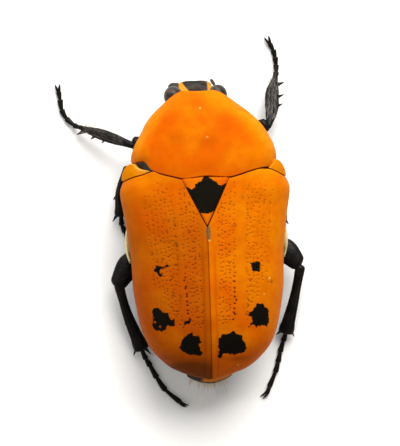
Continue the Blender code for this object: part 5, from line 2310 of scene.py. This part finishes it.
@dataclass
class Hairs:
    """Setae, copied from one modelled hair and joined into a few pieces."""

    sides: int = 3
    steps: int = 5
    bend: float = 0.22
    radius: float = 0.013
    patch: float = 0.003
    margin: float = 0.02
    map_width: float = 0.95
    least_height: float = 0.03

    @cached_property
    def template(self) -> tuple[Array, Array]:
        """Points and faces of one hair along +Z, one long and of radius one.

        Returns:
            The points and the triangles.
        """
        shape = ((0.0, 1.0, 1.0), (0.5, 0.75, 0.75), (1.0, 0.12, 0.12))
        piece = Bar(shape, self.sides, self.steps, (0.01, 0.01), 0).draw("hair")
        points = read_points(piece)
        faces = []
        for face in piece.data.polygons:
            corners = list(face.vertices)
            faces += [(corners[0], b, c) for b, c in zip(corners[1:], corners[2:])]
        bpy.data.objects.remove(piece)
        return points, np.array(faces)

    def grow(self, name: str, roots: Array, ways: Array, lengths: Array, places: Array) -> Piece:
        """Plants hairs.

        Args:
            name: Name of the piece.
            roots: Root of each hair.
            ways: Direction of each hair.
            lengths: Length of each hair.
            places: Place of each root on the unrolled skin, from 0 to 1 both ways.

        Returns:
            The joined hairs, with a map that gives each its own patch.
        """
        points, faces = self.template
        ways = ways / np.linalg.norm(ways, axis=1, keepdims=True)
        side = np.cross(ways, (0.13, 0.27, 0.95))
        side /= np.maximum(np.linalg.norm(side, axis=1, keepdims=True), 1e-6)
        over = np.cross(ways, side)
        z = points[:, 2][None, :, None]
        placed = roots[:, None] + ways[:, None] * z * lengths[:, None, None]
        placed = placed + side[:, None] * points[None, :, :1] * self.radius
        placed = placed + over[:, None] * points[None, :, 1:2] * self.radius
        hang = self.bend * lengths[:, None] * points[:, 2][None] ** 2
        placed[..., 2] = np.maximum(placed[..., 2] - hang, self.least_height)
        count = len(points)
        all_faces = (faces[None] + np.arange(len(roots))[:, None, None] * count).reshape(-1, 3)
        mesh = bpy.data.meshes.new(name)
        mesh.from_pydata((placed.reshape(-1, 3) * MM).tolist(), [], all_faces.tolist())
        piece = bpy.data.objects.new(name, mesh)
        bpy.context.scene.collection.objects.link(piece)
        self.map_patches(mesh, points, places)
        face_outwards(piece)
        shade(piece, 80)
        return piece

    def map_patches(self, mesh: bpy.types.Mesh, points: Array, places: Array) -> None:
        """Gives each hair a small patch of the map where its root lies on the unrolled skin.

        Args:
            mesh: Mesh of the hairs.
            points: Points of one hair.
            places: Place of each root on the unrolled skin.
        """
        local = (points[:, :2] * 0.5 + 0.5) * self.patch
        local[:, 1] = points[:, 2] * self.patch
        spread = (self.margin + self.map_width * places[:, None] + local[None]).reshape(-1, 2)
        loops = np.empty(len(mesh.loops), np.int32)
        mesh.loops.foreach_get("vertex_index", loops)
        layer = mesh.uv_layers.new(name="OFBake")
        layer.data.foreach_set("uv", spread[loops].astype(np.float32).ravel())


@dataclass
class Coat:
    """All the hairs of the beetle."""

    hairs: Hairs = field(default_factory=Hairs)
    short_hairs: Hairs = field(default_factory=lambda: Hairs(radius=0.012))
    seed: int = 7
    unruly: float = 0.12
    fringe_lengths: tuple[float, float] = (0.25, 0.75)
    pile_lengths: tuple[float, float] = (0.3, 0.6)
    breast_lengths: tuple[float, float] = (0.3, 0.8)
    tail_lengths: tuple[float, float] = (0.35, 0.85)
    long_lengths: tuple[float, float] = (1.0, 3.2)
    short_share: float = 0.95

    def tail_fringe(self, count: int = 230) -> Piece:
        """Plants the pale fringe behind the tail.

        Args:
            count: Number of hairs.

        Returns:
            The joined hairs.
        """
        draw = np.random.default_rng(self.seed)
        share = draw.uniform(-1, 1, count)
        down = draw.uniform(0.3, 1.0, count)
        row = Route(TAIL_ROWS).at(down)
        y = row[:, 0] + TAIL_BOW * share**2 * 0.72 + 0.05
        roots = np.column_stack([row[:, 2] * share * 0.85 - TAIL_SHIFT, y, row[:, 1]])
        sideways = share * 0.35 + draw.normal(0, self.unruly, count)
        ways = np.column_stack([sideways, -np.ones(count), draw.normal(-0.1, self.unruly, count)])
        short = draw.uniform(size=count) < self.short_share
        lengths = np.where(
            short, draw.uniform(*self.tail_lengths, count), draw.uniform(*self.long_lengths, count)
        )
        return self.hairs.grow("tail_fringe", roots, ways, lengths, np.column_stack([share / 2 + 0.5, down]))

    def shin_fringe(self, name: str, count: int = 70) -> Piece:
        """Plants the fringe along the inner side of a shin.

        Args:
            name: Row and side of the leg.
            count: Number of hairs.

        Returns:
            The joined hairs.
        """
        draw = np.random.default_rng(self.seed + sum(map(ord, name)))
        route = Route(LEGS[name]["tibia"])
        share = draw.uniform(0.2, 0.98, count)
        across, over = route.frame(share, (0, 0, 1))
        heading = route.heading(share)
        inner = -np.sign(across[:, :1] * LEGS[name]["tibia"][0][0])
        height = draw.uniform(-0.15, 0.15, (count, 1))
        flip = np.where(draw.uniform(size=(count, 1)) < 0.25, -1.0, 1.0)
        roots = route.at(share) + across * inner * flip * 0.3 + over * height
        ways = across * inner * flip * draw.uniform(0.3, 0.8, (count, 1)) + heading * 0.9
        ways = ways + draw.normal(0, self.unruly, (count, 3))
        round_shin = np.arctan2(height, inner * flip * 0.3)[:, 0] / math.tau + 0.5
        places = np.column_stack([round_shin, share])
        lengths = draw.uniform(*self.fringe_lengths, count)
        return self.hairs.grow(f"shin_fringe_{name}", roots, ways, lengths, places)

    def shin_pile(self, name: str, half: float, count: int = 260) -> Piece:
        """Plants short hairs that lie over the upper side of a front shin.

        Args:
            name: Row and side of the leg.
            half: Half width of the shin.
            count: Number of hairs.

        Returns:
            The joined hairs.
        """
        draw = np.random.default_rng(self.seed + 2 + len(name))
        route = Route(LEGS[name]["tibia"])
        share = draw.uniform(0.12, 0.9, count)
        across, over = route.frame(share, (0, 0, 1))
        side = draw.uniform(-0.85, 0.85, (count, 1))
        narrow = half * (1 - 0.6 * np.abs(share[:, None] - 0.45))
        roots = route.at(share) + across * side * narrow + over * 0.27 * np.sqrt(1 - side**2)
        ways = route.heading(share) + across * side * 0.3 + over * 0.16 + draw.normal(0, 0.07, (count, 3))
        places = np.column_stack([side[:, 0] / 4 + 0.25, share])
        lengths = draw.uniform(*self.pile_lengths, count)
        return self.short_hairs.grow(f"shin_pile_{name}", roots, ways, lengths, places)

    def breast_hairs(self, count: int = 420) -> Piece:
        """Plants short hairs on the sides of the breast and the front hips.

        Args:
            count: Number of hairs.

        Returns:
            The joined hairs.
        """
        draw = np.random.default_rng(self.seed + 1)
        y = draw.uniform(-3.4, 5.2, count)
        side = np.where(draw.uniform(size=count) < 0.5, -1.0, 1.0)
        share = draw.uniform(0.62, 0.99, count)
        x = side * Curve(BREAST_WIDTH)(y) * share
        roots = np.column_stack([x, y, under_height(Curve(BREAST_BELLY)(y), share)])
        ways = np.column_stack([side * share * 0.7, -np.full(count, 0.8), share - 1.1])
        ways += draw.normal(0, self.unruly, (count, 3))
        places = np.column_stack([0.5 + side * np.arcsin(share) / math.pi, (y + 3.4) / 8.6])
        lengths = draw.uniform(*self.breast_lengths, count)
        return self.hairs.grow("breast_hairs", roots, ways, lengths, places)

    def build(self, beetle: Beetle) -> None:
        """Builds and keeps every fringe.

        Args:
            beetle: The animal that keeps the pieces.
        """
        seta = beetle.wardrobe.seta
        beetle.keep(self.tail_fringe(), seta, Slot.PALE)
        beetle.keep(self.breast_hairs(), seta, Slot.PALE)
        for name in LEGS:
            beetle.keep(self.shin_fringe(name), seta, Slot.PALE)
        for name, half in (("front_left", 0.55), ("front_right", 0.7)):
            beetle.keep(self.shin_pile(name, half), beetle.wardrobe.pile, Slot.PALE)


@dataclass
class Studio:
    """Paper floor, soft lights and the camera over the animal.

    Attributes:
        scale: Millimetres of the scene for one pixel of the picture.
        aim_height: Height of the plane that the scale holds on.
        roll: Turn of the picture in degrees.
        tilt: Lean of the camera to the animal's left in degrees.
        picture: Width and height of the picture in pixels.
        middle: Pixel that the body's origin falls on.
        lights: Direction to, distance, size, power and tint of each light.
        paper_width: Width of the paper in metres.
        clip: Nearest and farthest distance that the camera sees, in metres.
    """

    scale: float = 0.0916
    aim_height: float = 5.8
    roll: float = 2.1
    tilt: float = 1.6
    distance: float = 300.0
    picture: tuple[int, int] = (400, 446)
    middle: tuple[float, float] = (206.5, 235.0)
    sensor: float = 36.0
    lights: dict[str, tuple] = field(default_factory=lambda: {
        "key_light": ((0.22, 0.72, 0.69), 420.0, 300.0, 3.3, (1.0, 0.975, 0.94)),
        "front_fill": ((-0.3, 0.95, 0.4), 420.0, 260.0, 0.6, (1.0, 0.99, 0.97)),
        "left_glint": ((-0.55, 0.3, 0.8), 420.0, 24.0, 0.12, (1.0, 1.0, 1.0)),
        "left_fill": ((-0.9, -0.1, 0.42), 420.0, 260.0, 0.3, (0.97, 0.98, 1.0)),
    })
    sky: float = 0.34
    sky_tint: tuple[float, ...] = (1.0, 0.96, 0.90, 1.0)
    paper_width: float = 1.6
    clip: tuple[float, float] = (0.01, 20.0)

    def axes(self) -> Array:
        """Right, up and back directions of the camera, as columns.

        Returns:
            A turn matrix.
        """
        roll, tilt = math.radians(self.roll), -math.radians(self.tilt)
        flat = np.array([
            (math.cos(roll), -math.sin(roll), 0.0), (math.sin(roll), math.cos(roll), 0.0), (0.0, 0.0, 1.0)
        ]).T
        lean_over = np.array([
            (math.cos(tilt), 0.0, math.sin(tilt)), (0.0, 1.0, 0.0), (-math.sin(tilt), 0.0, math.cos(tilt))
        ])
        return lean_over @ flat

    def camera(self) -> None:
        """Adds the camera."""
        axes = self.axes()
        wide, high = self.picture
        right = (wide / 2 - self.middle[0]) * self.scale
        up = (self.middle[1] - high / 2) * self.scale
        aim = np.array((0.0, 0.0, self.aim_height)) + axes[:, 0] * right + axes[:, 1] * up
        bpy.ops.object.camera_add()
        camera = bpy.context.object
        camera.name = "camera"
        place = Matrix.Translation((aim + axes[:, 2] * self.distance) * MM)
        camera.matrix_world = place @ Matrix(axes.tolist()).to_4x4()
        camera.data.sensor_width = self.sensor
        camera.data.lens = self.sensor * self.distance / (high * self.scale)
        camera.data.clip_start, camera.data.clip_end = self.clip
        bpy.context.scene.camera = camera

    def light(
        self, name: str, way: Sequence[float], distance: float, size: float, power: float, tint: Colour
    ) -> None:
        """Adds a soft square light that faces the animal.

        Args:
            name: Its name.
            way: Direction to it.
            distance: Its distance in millimetres.
            size: Its width in millimetres.
            power: Its power in watts.
            tint: Its colour.
        """
        way = np.array(way) / np.linalg.norm(way)
        side = np.cross((0, 1, 0), way)
        side /= np.linalg.norm(side)
        turn = np.array([side, np.cross(way, side), way]).T
        bpy.ops.object.light_add(type="AREA")
        light = bpy.context.object
        light.name = name
        light.data.shape = "SQUARE"
        light.data.size = size * MM
        light.data.energy = power
        light.data.color = tint
        light.matrix_world = Matrix.Translation(way * distance * MM) @ Matrix(turn.tolist()).to_4x4()

    def floor(self, finish: bpy.types.Material) -> None:
        """Adds the paper.

        Args:
            finish: Material of the paper.
        """
        deselect_all()
        bpy.ops.mesh.primitive_plane_add(size=self.paper_width)
        paper = named("paper_floor")
        paper.data.materials.append(finish)

    def build(self, wardrobe: Wardrobe) -> None:
        """Builds the studio.

        Args:
            wardrobe: Materials, of which it takes the paper.
        """
        self.floor(wardrobe.paper)
        for name, light in self.lights.items():
            self.light(name, *light)
        world = bpy.data.worlds.new("surroundings")
        world.use_nodes = True
        background = world.node_tree.nodes["Background"].inputs
        background["Color"].default_value = self.sky_tint
        background["Strength"].default_value = self.sky
        bpy.context.scene.world = world
        bpy.context.scene.view_settings.view_transform = "Standard"
        self.camera()


def main() -> None:
    """Builds the beetle and the studio, piece by piece."""
    logging.basicConfig(level=logging.INFO, format="%(name)s %(message)s")
    wardrobe = Wardrobe()
    beetle = Beetle(wardrobe)
    for side in Side:
        beetle.keep(WingCase(side).build(), wardrobe.orange, Slot.ORANGE, f"elytron_{side.word}")
    beetle.keep(Shield().build(), wardrobe.orange, Slot.ORANGE, "scutellum")
    FrontBreast().build(beetle)
    HindBody().build(beetle)
    TailPlate().build(beetle)
    for side in Side:
        SidePlates(side).build(beetle)
    Head().build(beetle)
    for name in LEGS:
        Leg(name).build(beetle)
    Coat().build(beetle)
    Studio().build(wardrobe)
    log.info("%d pieces, %d faces", len(beetle.pieces), sum(len(p.data.polygons) for p in beetle.pieces))
    bpy.context.view_layer.update()


if __name__ == "__main__":
    main()
